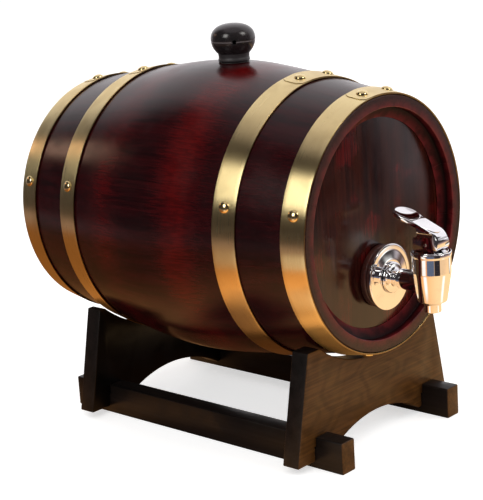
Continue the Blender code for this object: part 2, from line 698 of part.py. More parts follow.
def build_lever(parent):
    """Flip lever: a hub over the stem, an arm and a dished paddle towards the barrel."""
    along_x = (math.pi / 2, 0, math.pi / 2)
    half = LEVER_HALF_WIDTH
    nose = 0.0044             # where the rounded lower front of the hub begins
    side_outline = arc((-nose, 0), PIN_HEIGHT, -math.pi / 2, -math.pi, 5)
    side_outline += [
        (-0.0079, 0.0014), (-0.0078, 0.0030), (-0.0071, 0.0048), (-0.0062, 0.0059),
        (-0.0050, 0.0066), (0.0082, 0.0123), (0.0100, 0.0119), (0.0160, 0.0129),
        (0.0160, 0.0121), (0.0130, 0.0112), (0.0066, 0.0085),
        (0.0054, 0.0074), (0.0052, 0.0042), (0.0072, 0.0036), (0.0078, 0.0030),
        (0.0078, -0.0028), (0.0072, -PIN_HEIGHT),
    ]
    lever = prism("tap_lever", side_outline, 3 * half, PARTS, PIN_POINT, along_x)
    rings = []
    for height, radius in ((-0.010, 0.0079), (0.0008, 0.0079), (0.0065, half), (0.020, half)):
        front = arc((LEVER_NOSE_CENTRE, 0), radius, math.pi / 2, 3 * math.pi / 2, 14)
        ring = [(y, max(-half, min(half, x))) for y, x in front] + [(0.020, -half), (0.020, half)]
        rings.append((height, ring))
    form = loft("lever_plan", rings, CUTTERS, PIN_POINT, math.pi / 2)
    boolean(lever, make_cutter(form), "INTERSECT")
    for side in (-1, 1):
        middle = PIN_POINT + Vector((side * (half + 0.0008), 0, 0.0054))
        groove = cylinder(f"lever_groove_{side}", 0.0015, middle - Vector((0, 0.0044, 0)),
                          middle + Vector((0, 0.0100, 0)), 10, CUTTERS)
        boolean(lever, make_cutter(groove))
    paddle = [
        (0, -0.0013), (0.0035, -0.0010), (0.0063, -0.0002), (0.0068, 0.0),
        (PADDLE_RADIUS - 0.0002, -0.0001), (PADDLE_RADIUS, -0.0005),
        (PADDLE_RADIUS, -0.0023), (PADDLE_RADIUS - 0.0006, -0.0029), (0, -0.0031),
    ]
    centre = PIN_POINT + Vector((0, PADDLE_CENTRE, PADDLE_TOP))
    disc = turned("lever_paddle", paddle, 28, CUTTERS, centre, (PADDLE_TILT, 0, 0))
    boolean(lever, make_cutter(disc), "UNION")
    lean = -math.acos((PADDLE_RADIUS - SPOON_END_RADIUS) / SPOON_LENGTH)
    side = -math.pi / 2 - lean
    spoon = arc((0, 0), PADDLE_RADIUS - 0.0001, side, side, 1)[:1]
    spoon += arc((0, -SPOON_LENGTH), SPOON_END_RADIUS, side, -math.pi - side, 8)
    spoon += arc((0, 0), PADDLE_RADIUS - 0.0001, -math.pi - side, -math.pi - side, 1)[:1]
    spoon += arc((0, 0), PADDLE_RADIUS - 0.0004, -math.pi - side, side, 12)
    below = Vector((0, -math.sin(PADDLE_TILT), math.cos(PADDLE_TILT)))
    spoon = prism("lever_spoon", spoon, SPOON_THICKNESS, CUTTERS,
                  centre - below * (SPOON_THICKNESS / 2 + 0.0001), (PADDLE_TILT, 0, 0))
    boolean(lever, make_cutter(spoon), "UNION")
    slot = prism("lever_slot_cut", lever_slot_outline(), TONGUE_WIDTH + 2 * GAP, CUTTERS,
                 PIN_POINT, along_x)
    boolean(lever, make_cutter(slot))
    reach = Vector((2 * half, 0, 0))
    eye = cylinder("lever_eye_cut", PIN_RADIUS + PIN_PLAY, PIN_POINT - reach, PIN_POINT + reach,
                   10, CUTTERS)
    boolean(lever, make_cutter(eye))
    finish_piece(lever, CHROME, parent, 30.0)

    end = Vector((half - PIN_PLAY, 0, 0))
    pin = cylinder("lever_pin", PIN_RADIUS, PIN_POINT - end, PIN_POINT + end, 10, PARTS)
    finish_piece(pin, CHROME, parent)


# ---- stand ---------------------------------------------------------------------------
def cradle_radius(front_y):
    """Radius of the barrel with its hoop, where a board carries it."""
    nearest = front_y if front_y > 0 else front_y + BOARD_THICKNESS
    return stave_radius(nearest) + 2 * GAP + HOOP_THICKNESS


def build_board(name, front_y):
    half_slot = RAIL_THICKNESS / 2 + GAP
    rail_x = RAIL_OUTER_X - RAIL_THICKNESS / 2
    bottom = BOARD_LIFT
    slot_top = RAIL_HEIGHT - RAIL_NOTCH + GAP
    top = BOARD_LIFT + BOARD_HEIGHT
    carried = cradle_radius(front_y)
    radius = carried + CRADLE_SLACK
    centre_z = AXIS_Z - carried + radius
    reach = math.asin((centre_z - top) / radius)
    arch_radius = (ARCH_HALF_SPAN ** 2 + ARCH_RISE ** 2) / (2 * ARCH_RISE)
    arch_centre = bottom + ARCH_RISE - arch_radius
    arch_angle = math.asin(ARCH_HALF_SPAN / arch_radius)

    def slot(side):
        inner = side * (rail_x - half_slot)
        outer = side * (rail_x + half_slot)
        points = [(inner, bottom), (inner, slot_top), (outer, slot_top), (outer, bottom)]
        return points if side > 0 else list(reversed(points))

    outline = [(BOARD_HALF_BOTTOM, bottom), (BOARD_HALF_TOP, top)]
    outline += arc((0, centre_z), radius, -reach, -math.pi + reach, 18)
    outline += [(-BOARD_HALF_TOP, top), (-BOARD_HALF_BOTTOM, bottom)]
    outline += slot(-1)
    outline += arc((0, arch_centre), arch_radius, math.pi / 2 + arch_angle,
                   math.pi / 2 - arch_angle, 12)
    outline += slot(1)
    middle_y = BARREL_Y + front_y + BOARD_THICKNESS / 2
    board = prism(name, outline, BOARD_THICKNESS, PARTS, (0, middle_y, 0), (math.pi / 2, 0, 0))
    bevel(board, STAND_EDGE)
    finish_piece(board, BLACK_WOOD, smooth_angle=25.0)


def build_rail(name, side):
    notch_z = RAIL_HEIGHT - RAIL_NOTCH
    outline = [(RAIL_FRONT, 0), (RAIL_FRONT, RAIL_HEIGHT)]
    for front_y in (FRONT_BOARD_Y, REAR_BOARD_Y):
        start = front_y - GAP
        end = front_y + BOARD_THICKNESS + GAP
        outline += [(start, RAIL_HEIGHT), (start, notch_z), (end, notch_z), (end, RAIL_HEIGHT)]
    outline += [(RAIL_REAR, RAIL_HEIGHT), (RAIL_REAR, 0)]
    outline = [(BARREL_Y + y, z) for y, z in outline]
    middle_x = side * (RAIL_OUTER_X - RAIL_THICKNESS / 2)
    rail = prism(name, outline, RAIL_THICKNESS, PARTS, (middle_x, 0, 0),
                 (math.pi / 2, 0, math.pi / 2))
    bevel(rail, STAND_EDGE)
    finish_piece(rail, BLACK_WOOD, smooth_angle=25.0)


# ---- assembly ------------------------------------------------------------------------
clear_scene()
PARTS = make_collection("oak_wine_barrel")
CUTTERS = make_collection("cutters")
OAK = make_material("lacquered_oak", (0.085, 0.018, 0.016), 0.30)
BRASS = make_material("brass", (0.62, 0.45, 0.20), 0.28, 1.0)
CHROME = make_material("chrome", (0.86, 0.86, 0.88), 0.08, 1.0)
BLACK_PLASTIC = make_material("black_plastic", (0.012, 0.012, 0.013), 0.25)
BLACK_RUBBER = make_material("black_rubber", (0.02, 0.02, 0.02), 0.7)
BLACK_WOOD = make_material("black_stained_wood", (0.022, 0.018, 0.015), 0.45)

barrel_lift = empty("barrel_lift", AXIS_POINT)
bung_lift = empty("bung_lift", BARREL_TOP)
stem_slide = empty("stem_slide", TAP_POINT)
lever_hinge = empty("lever_hinge", PIN_POINT)

nail_cutters = build_hoops_and_nails(barrel_lift)
build_staves(barrel_lift, nail_cutters)
tap_hole = make_cutter(cylinder("tap_hole_cut", TAP_SHANK_RADIUS + GAP, front_distance(0.004),
                                front_distance(-HEAD_THICKNESS - 0.004), 20, CUTTERS))
build_heads(barrel_lift, tap_hole)
build_bung(bung_lift)
build_tap_body(barrel_lift)
build_tap_mount(barrel_lift)
plug_bottom = build_bonnet(barrel_lift)
build_stem(stem_slide, plug_bottom)
build_lever(lever_hinge)
build_board("front_cradle", FRONT_BOARD_Y)
build_board("rear_cradle", REAR_BOARD_Y)
build_rail("left_rail", -1)
build_rail("right_rail", 1)
bpy.context.view_layer.update()
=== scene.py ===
import math

import bmesh
import bpy
from mathutils import Matrix, Vector


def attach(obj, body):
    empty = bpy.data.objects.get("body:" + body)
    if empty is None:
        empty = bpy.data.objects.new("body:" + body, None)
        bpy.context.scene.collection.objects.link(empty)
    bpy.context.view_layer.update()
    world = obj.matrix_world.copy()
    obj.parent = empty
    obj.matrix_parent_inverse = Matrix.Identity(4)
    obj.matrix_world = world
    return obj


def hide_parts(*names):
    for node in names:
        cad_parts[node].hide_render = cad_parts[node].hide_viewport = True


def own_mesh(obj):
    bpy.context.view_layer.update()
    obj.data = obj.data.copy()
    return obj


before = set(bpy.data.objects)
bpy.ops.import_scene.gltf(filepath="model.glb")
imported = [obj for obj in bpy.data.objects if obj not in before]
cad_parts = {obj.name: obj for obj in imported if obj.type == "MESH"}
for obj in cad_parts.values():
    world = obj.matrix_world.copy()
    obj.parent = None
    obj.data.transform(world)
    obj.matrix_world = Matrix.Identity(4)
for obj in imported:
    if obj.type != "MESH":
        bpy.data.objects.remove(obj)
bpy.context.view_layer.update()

# ---- Staves ----------------------------------------------------------------------------
# Thirteen oak staves, bent over heat and drawn together by the hoops. Each end is cut with a
# chime, a sloping howel and the croze that holds the head. They are stained dark red by
# spraying and lacquered together, so the joints between them show only as hairlines.
BARREL_HALF = 0.1080
BELLY_RADIUS = 0.0844
STAVE_THICKNESS = 0.0130
STAVE_COUNT = 13
STAVE_SLOPE, STAVE_BEND = 0.178, 0.0050   # how the staves close in, and their bend at the belly
BARREL_Y, AXIS_Z = 0.0193, 0.1238
SLIVER, WELD = 0.000001, 0.000002   # smaller gaps than these are closed up
JOINT = 0.00008                # open width of a joint
JOINT_DIP = 0.00002            # how far the stave edges are eased
CHIME_RADIUS, CHIME_WALL = 0.0629, 0.0045
SIGHT_RADIUS, CROZE_FRONT = 0.0570, 0.0069
CROZE_RADIUS, CROZE_BACK = 0.0606, 0.0155
BUNG_Y = BARREL_Y - 0.0050
BUNG_HOLE_RADIUS = 0.0088


def stave_radius(along):
    """Outer radius of the barrel at a distance along its axis from the belly."""
    return BELLY_RADIUS - (math.hypot(STAVE_BEND, STAVE_SLOPE * along) - STAVE_BEND)


def soften(points, radius, steps=3, closed=False):
    """Round the corners of an outline with short curves."""
    made = []
    for i, point in enumerate(points):
        if not closed and i in (0, len(points) - 1):
            made.append(tuple(point))
            continue
        here = Vector(point)
        before = Vector(points[i - 1]) - here
        after = Vector(points[(i + 1) % len(points)]) - here
        start = here + before * min(radius / before.length, 0.5)
        end = here + after * min(radius / after.length, 0.5)
        for k in range(steps + 1):
            t = k / steps
            made.append(tuple(start.lerp(here, t).lerp(here.lerp(end, t), t)))
    return made


def finished_mesh(work, matrix=None):
    """Weld a mesh being worked on, face it outward, put it in its place and return it."""
    bmesh.ops.remove_doubles(work, verts=work.verts, dist=WELD)
    bmesh.ops.recalc_face_normals(work, faces=work.faces)
    if matrix is not None:
        work.transform(matrix)
    mesh = bpy.data.meshes.new("shape")
    work.to_mesh(mesh)
    work.free()
    return mesh


def skin(work, rows):
    """Join rows of points into a tube and close its two ends."""
    for first, second in zip(rows, rows[1:]):
        for i in range(len(first)):
            j = (i + 1) % len(first)
            work.faces.new((first[i], first[j], second[j], second[i]))
    work.faces.new(list(reversed(rows[0])))
    work.faces.new(rows[-1])


def lathe(profile, steps, matrix=None, closed=False):
    """Turn a section of (radius, height) points round Z."""
    work = bmesh.new()
    rings = []
    for radius, height in profile:
        count = steps if radius > SLIVER else 1
        rings.append([work.verts.new((radius * math.cos(2 * math.pi * i / steps),
                                      radius * math.sin(2 * math.pi * i / steps), height))
                      for i in range(count)])
    pairs = list(zip(rings, rings[1:]))
    if closed:
        pairs.append((rings[-1], rings[0]))
    for first, second in pairs:
        for i in range(steps):
            j = (i + 1) % steps
            corners = [first[i % len(first)], first[j % len(first)],
                       second[j % len(second)], second[i % len(second)]]
            corners = list(dict.fromkeys(corners))
            if len(corners) > 2:
                work.faces.new(corners)
    return finished_mesh(work, matrix)


def worked(mesh, kind, **settings):
    """Apply one modifier to a mesh and return the new mesh."""
    item = bpy.data.objects.new("work", mesh)
    bpy.context.scene.collection.objects.link(item)
    step = item.modifiers.new("step", kind)
    for key, value in settings.items():
        setattr(step, key, value)
    bpy.context.view_layer.update()
    made = bpy.data.meshes.new_from_object(
        item.evaluated_get(bpy.context.evaluated_depsgraph_get()))
    bpy.data.objects.remove(item)
    return made


def combined(mesh, tool, operation="DIFFERENCE"):
    """Cut one mesh by another, or join them, and clean away the slivers that this leaves."""
    other = bpy.data.objects.new("tool", tool)
    bpy.context.scene.collection.objects.link(other)
    made = worked(mesh, "BOOLEAN", operation=operation, object=other, solver="EXACT")
    bpy.data.objects.remove(other)
    work = bmesh.new()
    work.from_mesh(made)
    bmesh.ops.remove_doubles(work, verts=work.verts, dist=SLIVER)
    bmesh.ops.dissolve_degenerate(work, edges=work.edges, dist=SLIVER)
    work.to_mesh(made)
    work.free()
    return made


def add_piece(name, mesh, look, body, nodes, smooth=35.0):
    """Put a finished piece in the scene, riding on its body in place of its CAD nodes."""
    piece = bpy.data.objects.new(name, mesh)
    bpy.context.scene.collection.objects.link(piece)
    mesh.name = name
    mesh.materials.clear()
    mesh.materials.append(look)
    mesh.shade_smooth()
    mesh.set_sharp_from_angle(angle=math.radians(smooth))
    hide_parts(*nodes)
    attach(piece, body)
    return piece


def node(tree, kind, inputs=None, **settings):
    """Add a shader node, set it and wire its inputs."""
    made = tree.nodes.new("ShaderNode" + kind)
    for key, value in settings.items():
        setattr(made, key, value)
    for key, value in (inputs or {}).items():
        if isinstance(value, bpy.types.NodeSocket):
            tree.links.new(value, made.inputs[key])
        else:
            made.inputs[key].default_value = value
    return made


def new_look(name, **constants):
    """A material with its Principled shader's plain values set. Returns material, tree, shader."""
    look = bpy.data.materials.new(name)
    look.use_nodes = True
    shader = look.node_tree.nodes["Principled BSDF"]
    for key, value in constants.items():
        shader.inputs[key.replace("_", " ")].default_value = value
    return look, look.node_tree, shader


def new_effect(name, inputs, outputs):
    """An empty shader node group with named sockets."""
    group = bpy.data.node_groups.new(name, "ShaderNodeTree")
    for label, kind, default in inputs:
        socket = group.interface.new_socket(name=label, in_out="INPUT", socket_type=kind)
        if default is not None:
            socket.default_value = default
    for label, kind in outputs:
        group.interface.new_socket(name=label, in_out="OUTPUT", socket_type=kind)
    return group, group.nodes.new("NodeGroupInput"), group.nodes.new("NodeGroupOutput")


def use_effect(tree, group, **values):
    made = tree.nodes.new("ShaderNodeGroup")
    made.node_tree = group
    for key, value in values.items():
        key = key.replace("_", " ")
        if isinstance(value, bpy.types.NodeSocket):
            tree.links.new(value, made.inputs[key])
        else:
            made.inputs[key].default_value = value
    return made.outputs


def mix(tree, amount, first, second, blend="MIX"):
    """Mix two colours."""
    made = node(tree, "Mix", data_type="RGBA", blend_type=blend)
    for index, value in ((0, amount), (6, first), (7, second)):
        if isinstance(value, bpy.types.NodeSocket):
            tree.links.new(value, made.inputs[index])
        else:
            made.inputs[index].default_value = value if index == 0 else (*value, 1.0)
    return made.outputs[2]


def ramp(tree, value, low, high, start=0.0, end=1.0):
    """Rescale a value smoothly from low..high to start..end."""
    return node(tree, "MapRange", {0: value, 1: low, 2: high, 3: start, 4: end},
                interpolation_type="SMOOTHSTEP").outputs[0]


def span(tree, value, start, end):
    """Spread a 0 to 1 value smoothly over start..end."""
    return ramp(tree, value, 0.0, 1.0, start, end)


def calc(tree, operation, first, second):
    """Combine two values by a Math node."""
    return node(tree, "Math", {0: first, 1: second}, operation=operation).outputs[0]


def feed(tree, shader, colour, dullness, strength, depth, relief):
    """Wire a look's colour, roughness and relief (its bump strength and depth) to its shader."""
    bump = node(tree, "Bump", {"Strength": strength, "Distance": depth, "Height": relief})
    for label, value in (("Base Color", colour), ("Roughness", dullness),
                         ("Normal", bump.outputs[0])):
        tree.links.new(value, shader.inputs[label])


# grain of sawn oak: slow figure, fine streaks and short pores, all drawn out along the wood
oak_grain, inside, outside = new_effect(
    "oak grain",
    [("Place", "NodeSocketVector", None), ("Fineness", "NodeSocketFloat", 1.0)],
    [("Figure", "NodeSocketFloat"), ("Streak", "NodeSocketFloat"), ("Pores", "NodeSocketFloat")])
for label, size, detail, low, high in (("Figure", (150.0, 7.0, 150.0), 3.0, 0.34, 0.66),
                                       ("Streak", (1100.0, 22.0, 1100.0), 4.0, 0.30, 0.70),
                                       ("Pores", (3000.0, 120.0, 3000.0), 2.0, 0.60, 0.74)):
    scaled = node(oak_grain, "VectorMath", {0: inside.outputs["Place"], 1: size},
                  operation="MULTIPLY").outputs[0]
    finer = node(oak_grain, "VectorMath", {0: scaled, "Scale": inside.outputs["Fineness"]},
                 operation="SCALE").outputs[0]
    noise = node(oak_grain, "TexNoise", {"Vector": finer, "Scale": 1.0, "Detail": detail,
                                         "Roughness": 0.6, "Distortion": 0.25})
    oak_grain.links.new(ramp(oak_grain, noise.outputs[0], low, high), outside.inputs[label])

# cloudy patches, as sprayed stain, polish and handling leave them
clouds, inside, outside = new_effect(
    "clouds",
    [("Place", "NodeSocketVector", None), ("Scale", "NodeSocketFloat", 20.0),
     ("Low", "NodeSocketFloat", 0.4), ("High", "NodeSocketFloat", 0.6)],
    [("Mask", "NodeSocketFloat")])
noise = node(clouds, "TexNoise", {"Vector": inside.outputs["Place"],
                                  "Scale": inside.outputs["Scale"], "Detail": 3.0,
                                  "Roughness": 0.5})
clouds.links.new(ramp(clouds, noise.outputs[0], inside.outputs["Low"], inside.outputs["High"]),
                 outside.inputs["Mask"])


def cloud(tree, place, scale, low, high):
    """A mask of cloudy patches: 0 where the noise is below low, 1 above high."""
    return use_effect(tree, clouds, Place=place, Scale=scale, Low=low, High=high)[0]


MAROON_DARK = (0.0115, 0.0016, 0.0024)
MAROON = (0.0290, 0.0020, 0.0030)
RED_STAIN = (0.0930, 0.0018, 0.0020)
GLINT_AND_RUB_RED = (0.2000, 0.0130, 0.0150)
CHIME_BROWN = (0.0500, 0.0130, 0.0075)
RECESS_SHADE_BLACK = (0.0060, 0.0020, 0.0020)
MAROON_PATCH = (0.0340, 0.0018, 0.0028)
STREAK_SHADE = (0.35, 0.35, 0.38)
OUTER_POINTS = 41              # of a stave's section, along its outer side
BELLY_RED_AT, BELLY_RED_WIDTH = 0.027, 0.0125
GLINT_AND_RUB_WIDTH = 0.0010

lacquer, tree, shader = new_look("lacquered_staves", IOR=1.37)
place = node(tree, "Attribute", attribute_name="grain").outputs["Vector"]
grain = use_effect(tree, oak_grain, Place=place, Fineness=1.0)
solid_place = node(tree, "TexCoord").outputs["Object"]
patches = cloud(tree, solid_place, 24.0, 0.40, 0.62)
belly = node(tree, "Attribute", attribute_name="belly").outputs["Fac"]
fibres = span(tree, grain["Streak"], 0.07, -0.11)
feathered = ramp(tree, calc(tree, "ADD", belly, fibres), -0.05, 1.05)
red_amount = calc(tree, "MULTIPLY", feathered, span(tree, patches, 0.50, 1.0))
colour = mix(tree, span(tree, grain["Figure"], 0.1, 0.9), MAROON_DARK, MAROON)
colour = mix(tree, span(tree, patches, 0.0, 0.35), colour, MAROON_PATCH)
colour = mix(tree, red_amount, colour, RED_STAIN)
colour = mix(tree, span(tree, grain["Streak"], 0.0, 0.50), colour, STREAK_SHADE, "MULTIPLY")
colour = mix(tree, span(tree, grain["Pores"], 0.0, 0.4), colour, (0.003, 0.001, 0.001))
end_grain = node(tree, "Attribute", attribute_name="end_grain").outputs["Fac"]
colour = mix(tree, end_grain, colour, mix(tree, grain["Streak"], CHIME_BROWN, MAROON_DARK))
# painted shade: the walls inside the chime are darkened almost to black
recess = node(tree, "Attribute", attribute_name="recess").outputs["Fac"]
colour = mix(tree, recess, colour, mix(tree, patches, RECESS_SHADE_BLACK, MAROON_DARK))
# painted highlight in bright red along the chime and sight edges, partly rubbed wear, in patches
glint_and_rub = node(tree, "Attribute", attribute_name="glint_and_rub").outputs["Fac"]
glint_breakup = cloud(tree, solid_place, 160.0, 0.30, 0.62)
colour = mix(tree, calc(tree, "MULTIPLY", glint_and_rub, span(tree, glint_breakup, 0.35, 1.0)), colour, GLINT_AND_RUB_RED)
polish = cloud(tree, solid_place, 60.0, 0.3, 0.7)
dullness = calc(tree, "ADD", span(tree, polish, 0.18, 0.25),
                span(tree, calc(tree, "ADD", end_grain, recess), 0.0, 0.16))
relief = calc(tree, "SUBTRACT", calc(tree, "MULTIPLY", grain["Streak"], 0.5), grain["Pores"])
feed(tree, shader, colour, dullness, 0.10, 0.00006, relief)

# the same finish, thin and dull, on the sawn walls inside the chime
howel_finish = lacquer.copy()
howel_finish.name = "thin_finish_in_howel"
howel_finish.node_tree.nodes["Principled BSDF"].inputs["Specular IOR Level"].default_value = 0.08


def stave_section():
    """Closed section of a stave, as (radius, along), from the rear end forward and back."""
    ease = 0.0005
    outer = []
    for i in range(OUTER_POINTS):
        along = BARREL_HALF * (1 - 2 * i / (OUTER_POINTS - 1))
        outer.append((stave_radius(along), along))
    edge = stave_radius(BARREL_HALF)
    end = [(edge - ease, 0.0)]
    end += soften([(edge - 0.002, 0.0), (CHIME_RADIUS, 0.0), (CHIME_RADIUS, CHIME_WALL),
                   (SIGHT_RADIUS, CROZE_FRONT), (CROZE_RADIUS, CROZE_FRONT)], 0.0005, 4)
    end.append((CROZE_RADIUS, CROZE_BACK))
    outer[0] = (edge, BARREL_HALF - ease)
    outer[-1] = (edge, ease - BARREL_HALF)
    reach = BARREL_HALF - CROZE_BACK
    inner = []
    for i in range(13):
        along = reach * (i / 6 - 1)
        inner.append((stave_radius(along) - STAVE_THICKNESS, along))
    front = [(radius, depth - BARREL_HALF) for radius, depth in end]
    rear = [(radius, BARREL_HALF - depth) for radius, depth in reversed(end)]
    return outer + front + inner + rear


def near(radius, depth, edge_radius, edge_depth):
    """1 on an edge, falling to 0 across the width of its painted highlight and rubbed wear."""
    gap = math.hypot(radius - edge_radius, depth - edge_depth)
    return max(0.0, 1.0 - gap / GLINT_AND_RUB_WIDTH)


def mark_stave(mesh, index):
    """Write what the lacquer reads: where the grain runs, the red belly and the edges with a
    painted highlight and rubbed wear.
    """
    marks = {"grain": [], "belly": [], "glint_and_rub": [], "end_grain": [], "recess": []}
    middle = index * 2 * math.pi / STAVE_COUNT
    for vertex in mesh.vertices:
        x, y, z = vertex.co
        radius = math.hypot(x, z - AXIS_Z)
        along = y - BARREL_Y
        around = math.atan2(x, z - AXIS_Z)
        turn = (around - middle + math.pi) % (2 * math.pi) - math.pi
        depth = BARREL_HALF - abs(along)
        marks["grain"] += [turn * BELLY_RADIUS, along, radius + 0.37 * index]
        marks["belly"].append(math.exp(-((abs(along) - BELLY_RED_AT) / BELLY_RED_WIDTH) ** 2)
                              * (1.0 if along < 0 else 0.7) * (0.82 + 0.18 * math.cos(around)))
        # the chime's inner edge and the sight edge, which take the painted highlight
        marks["glint_and_rub"].append(max(near(radius, depth, CHIME_RADIUS, 0.0),
                                 near(radius, depth, SIGHT_RADIUS, CROZE_FRONT)))
        marks["end_grain"].append(1.0 if depth < 0.0003 else 0.0)
        # the walls inside the chime, which take the painted shade
        in_recess = radius < CHIME_RADIUS + 0.0003 and 0.0003 < depth < CROZE_BACK
        marks["recess"].append(1.0 if in_recess else 0.0)
    for label, values in marks.items():
        vector = label == "grain"
        layer = mesh.attributes.new(label, "FLOAT_VECTOR" if vector else "FLOAT", "POINT")
        layer.data.foreach_set("vector" if vector else "value", values)


def stave_mesh(index):
    section = stave_section()
    columns = (-1.0, -0.985, -0.75, -0.5, -0.25, 0.0, 0.25, 0.5, 0.75, 0.985, 1.0)
    work = bmesh.new()
    grid = []
    for column in columns:
        line = []
        for i, (radius, along) in enumerate(section):
            outside_face = i < OUTER_POINTS
            if outside_face and abs(column) == 1.0:
                radius -= JOINT_DIP
            half = math.pi / STAVE_COUNT - JOINT / 2 / radius
            turn = index * 2 * math.pi / STAVE_COUNT + column * half
            line.append(work.verts.new((radius * math.sin(turn), BARREL_Y + along,
                                        AXIS_Z + radius * math.cos(turn))))
        grid.append(line)
    skin(work, grid)
    return finished_mesh(work)


def true_up(mesh):
    """Shade the outside as the smooth bent surface that the cooper planes and sands."""
    mesh.shade_smooth()
    mesh.set_sharp_from_angle(angle=math.radians(30.0))
    corners = [Vector(item.vector) for item in mesh.corner_normals]
    for polygon in mesh.polygons:
        for loop in polygon.loop_indices:
            x, y, z = mesh.vertices[mesh.loops[loop].vertex_index].co
            along, radius = y - BARREL_Y, math.hypot(x, z - AXIS_Z)
            if abs(radius - stave_radius(along)) > 0.00008:
                continue
            slope = -STAVE_SLOPE ** 2 * along / math.hypot(STAVE_BEND, STAVE_SLOPE * along)
            outward = Vector((x / radius, -slope, (z - AXIS_Z) / radius)).normalized()
            if polygon.normal.dot(outward) > 0.96:
                corners[loop] = outward
    mesh.normals_split_custom_set(corners)


def dull_howel(mesh):
    """Give the walls inside the chime their thinner finish."""
    mesh.materials.append(howel_finish)
    for polygon in mesh.polygons:
        x, y, z = polygon.center
        depth = BARREL_HALF - abs(y - BARREL_Y)
        if math.hypot(x, z - AXIS_Z) < CHIME_RADIUS + 0.0002 and 0.0004 < depth < CROZE_BACK:
            polygon.material_index = 1


for index in range(STAVE_COUNT):
    mesh = stave_mesh(index)
    if index == 0:
        top = AXIS_Z + BELLY_RADIUS
        hole = [(0, 0.003), (BUNG_HOLE_RADIUS + 0.0005, 0.003), (BUNG_HOLE_RADIUS + 0.0005, 0.0),
                (BUNG_HOLE_RADIUS, -0.0006), (BUNG_HOLE_RADIUS, -0.020), (0, -0.020)]
        mesh = combined(mesh, lathe(hole, 64, Matrix.Translation((0, BUNG_Y, top))))
    mark_stave(mesh, index)
    add_piece(f"stave_{index + 1}_oak", mesh, lacquer, "barrel",
              [f"stave_{index + 1:02d}"], 30.0)
    dull_howel(mesh)
    true_up(mesh)

# ---- Heads -----------------------------------------------------------------------------
# Two round oak heads, their edges eased and sprung into the croze when the hoops are off.
# The grain stands upright. The front one is bored below its middle for the tap.
HEAD_RADIUS, HEAD_THICKNESS, HEAD_DEPTH = 0.0603, 0.0080, 0.0072
TAP_Y, TAP_Z = -0.1165, 0.0948
SHANK_HOLE_RADIUS = 0.0072
HEAD_FACE_Y = BARREL_Y - BARREL_HALF + HEAD_DEPTH
ALONG_AXIS = Matrix.Rotation(math.pi / 2, 4, "X")     # turns lathe work to face forward

HEAD_DARK = (0.0170, 0.0026, 0.0024)
HEAD_BROWN = (0.0480, 0.0080, 0.0034)
HEAD_RED = (0.1150, 0.0050, 0.0050)

head_lacquer, tree, shader = new_look("lacquered_head", IOR=1.48)
solid_place = node(tree, "TexCoord").outputs["Object"]
split = node(tree, "SeparateXYZ", {0: solid_place}).outputs
upright = node(tree, "CombineXYZ", {0: split[0], 1: split[2], 2: split[1]}).outputs[0]
grain = use_effect(tree, oak_grain, Place=upright, Fineness=0.8)
patches = cloud(tree, solid_place, 38.0, 0.50, 0.66)
colour = mix(tree, grain["Figure"], HEAD_DARK, HEAD_BROWN)
colour = mix(tree, span(tree, patches, 0.0, 0.75), colour, HEAD_RED)
colour = mix(tree, span(tree, grain["Streak"], 0.0, 0.8), colour, (0.34, 0.34, 0.38), "MULTIPLY")
colour = mix(tree, span(tree, grain["Pores"], 0.0, 0.6), colour, (0.004, 0.001, 0.001))
polish = cloud(tree, solid_place, 70.0, 0.3, 0.7)
relief = calc(tree, "SUBTRACT", calc(tree, "MULTIPLY", grain["Streak"], 0.6), grain["Pores"])
feed(tree, shader, colour, span(tree, polish, 0.14, 0.21), 0.14, 0.00006, relief)

for side, label in ((-1, "front"), (1, "rear")):
    middle = BARREL_Y + side * (BARREL_HALF - HEAD_DEPTH - HEAD_THICKNESS / 2)
    half = HEAD_THICKNESS / 2
    disc = soften([(0, half), (HEAD_RADIUS, half), (HEAD_RADIUS, -half), (0, -half)], 0.0008)
    mesh = lathe(disc, 96, Matrix.Translation((0, middle, AXIS_Z)) @ ALONG_AXIS)
    if side < 0:
        bore = [(0, 0.01), (SHANK_HOLE_RADIUS, 0.01), (SHANK_HOLE_RADIUS, -0.01), (0, -0.01)]
        mesh = combined(mesh, lathe(bore, 40, Matrix.Translation((0, middle, TAP_Z)) @ ALONG_AXIS))
    add_piece(f"{label}_head_oak", mesh, head_lacquer, "barrel",
              [f"{label}_head"])

# ---- Hoops and nails -------------------------------------------------------------------
# Four hoops of rolled brass strip, lapped on top of the barrel and held by domed brass nails,
# two of them through the lap. The strip has a fine rolled finish and slightly rounded edges.
HOOP_WIDTH, HOOP_THICKNESS, HOOP_PLAY = 0.0140, 0.0008, 0.0003
LAP_START, LAP_END, LAP_EASE = -12.5, 16.0, 24.0     # degrees from the top, towards +X
LAP_STEP = 0.00030                                   # what shows of the scarfed end
NAIL_RADIUS, NAIL_HEIGHT, NAIL_SHANK = 0.0032, 0.0017, 0.0009

BRASS = (0.880, 0.722, 0.385)
BRASS_DULL = (0.790, 0.622, 0.300)
BRASS_TARNISH = (0.520, 0.380, 0.170)
SLIT_EDGE_SHADE = (0.220, 0.120, 0.035)                     # painted shade that dulls the reflection of the slit edges
SLIT_EDGE_SHADE_FROM = 0.00680                              # from the middle of the strip


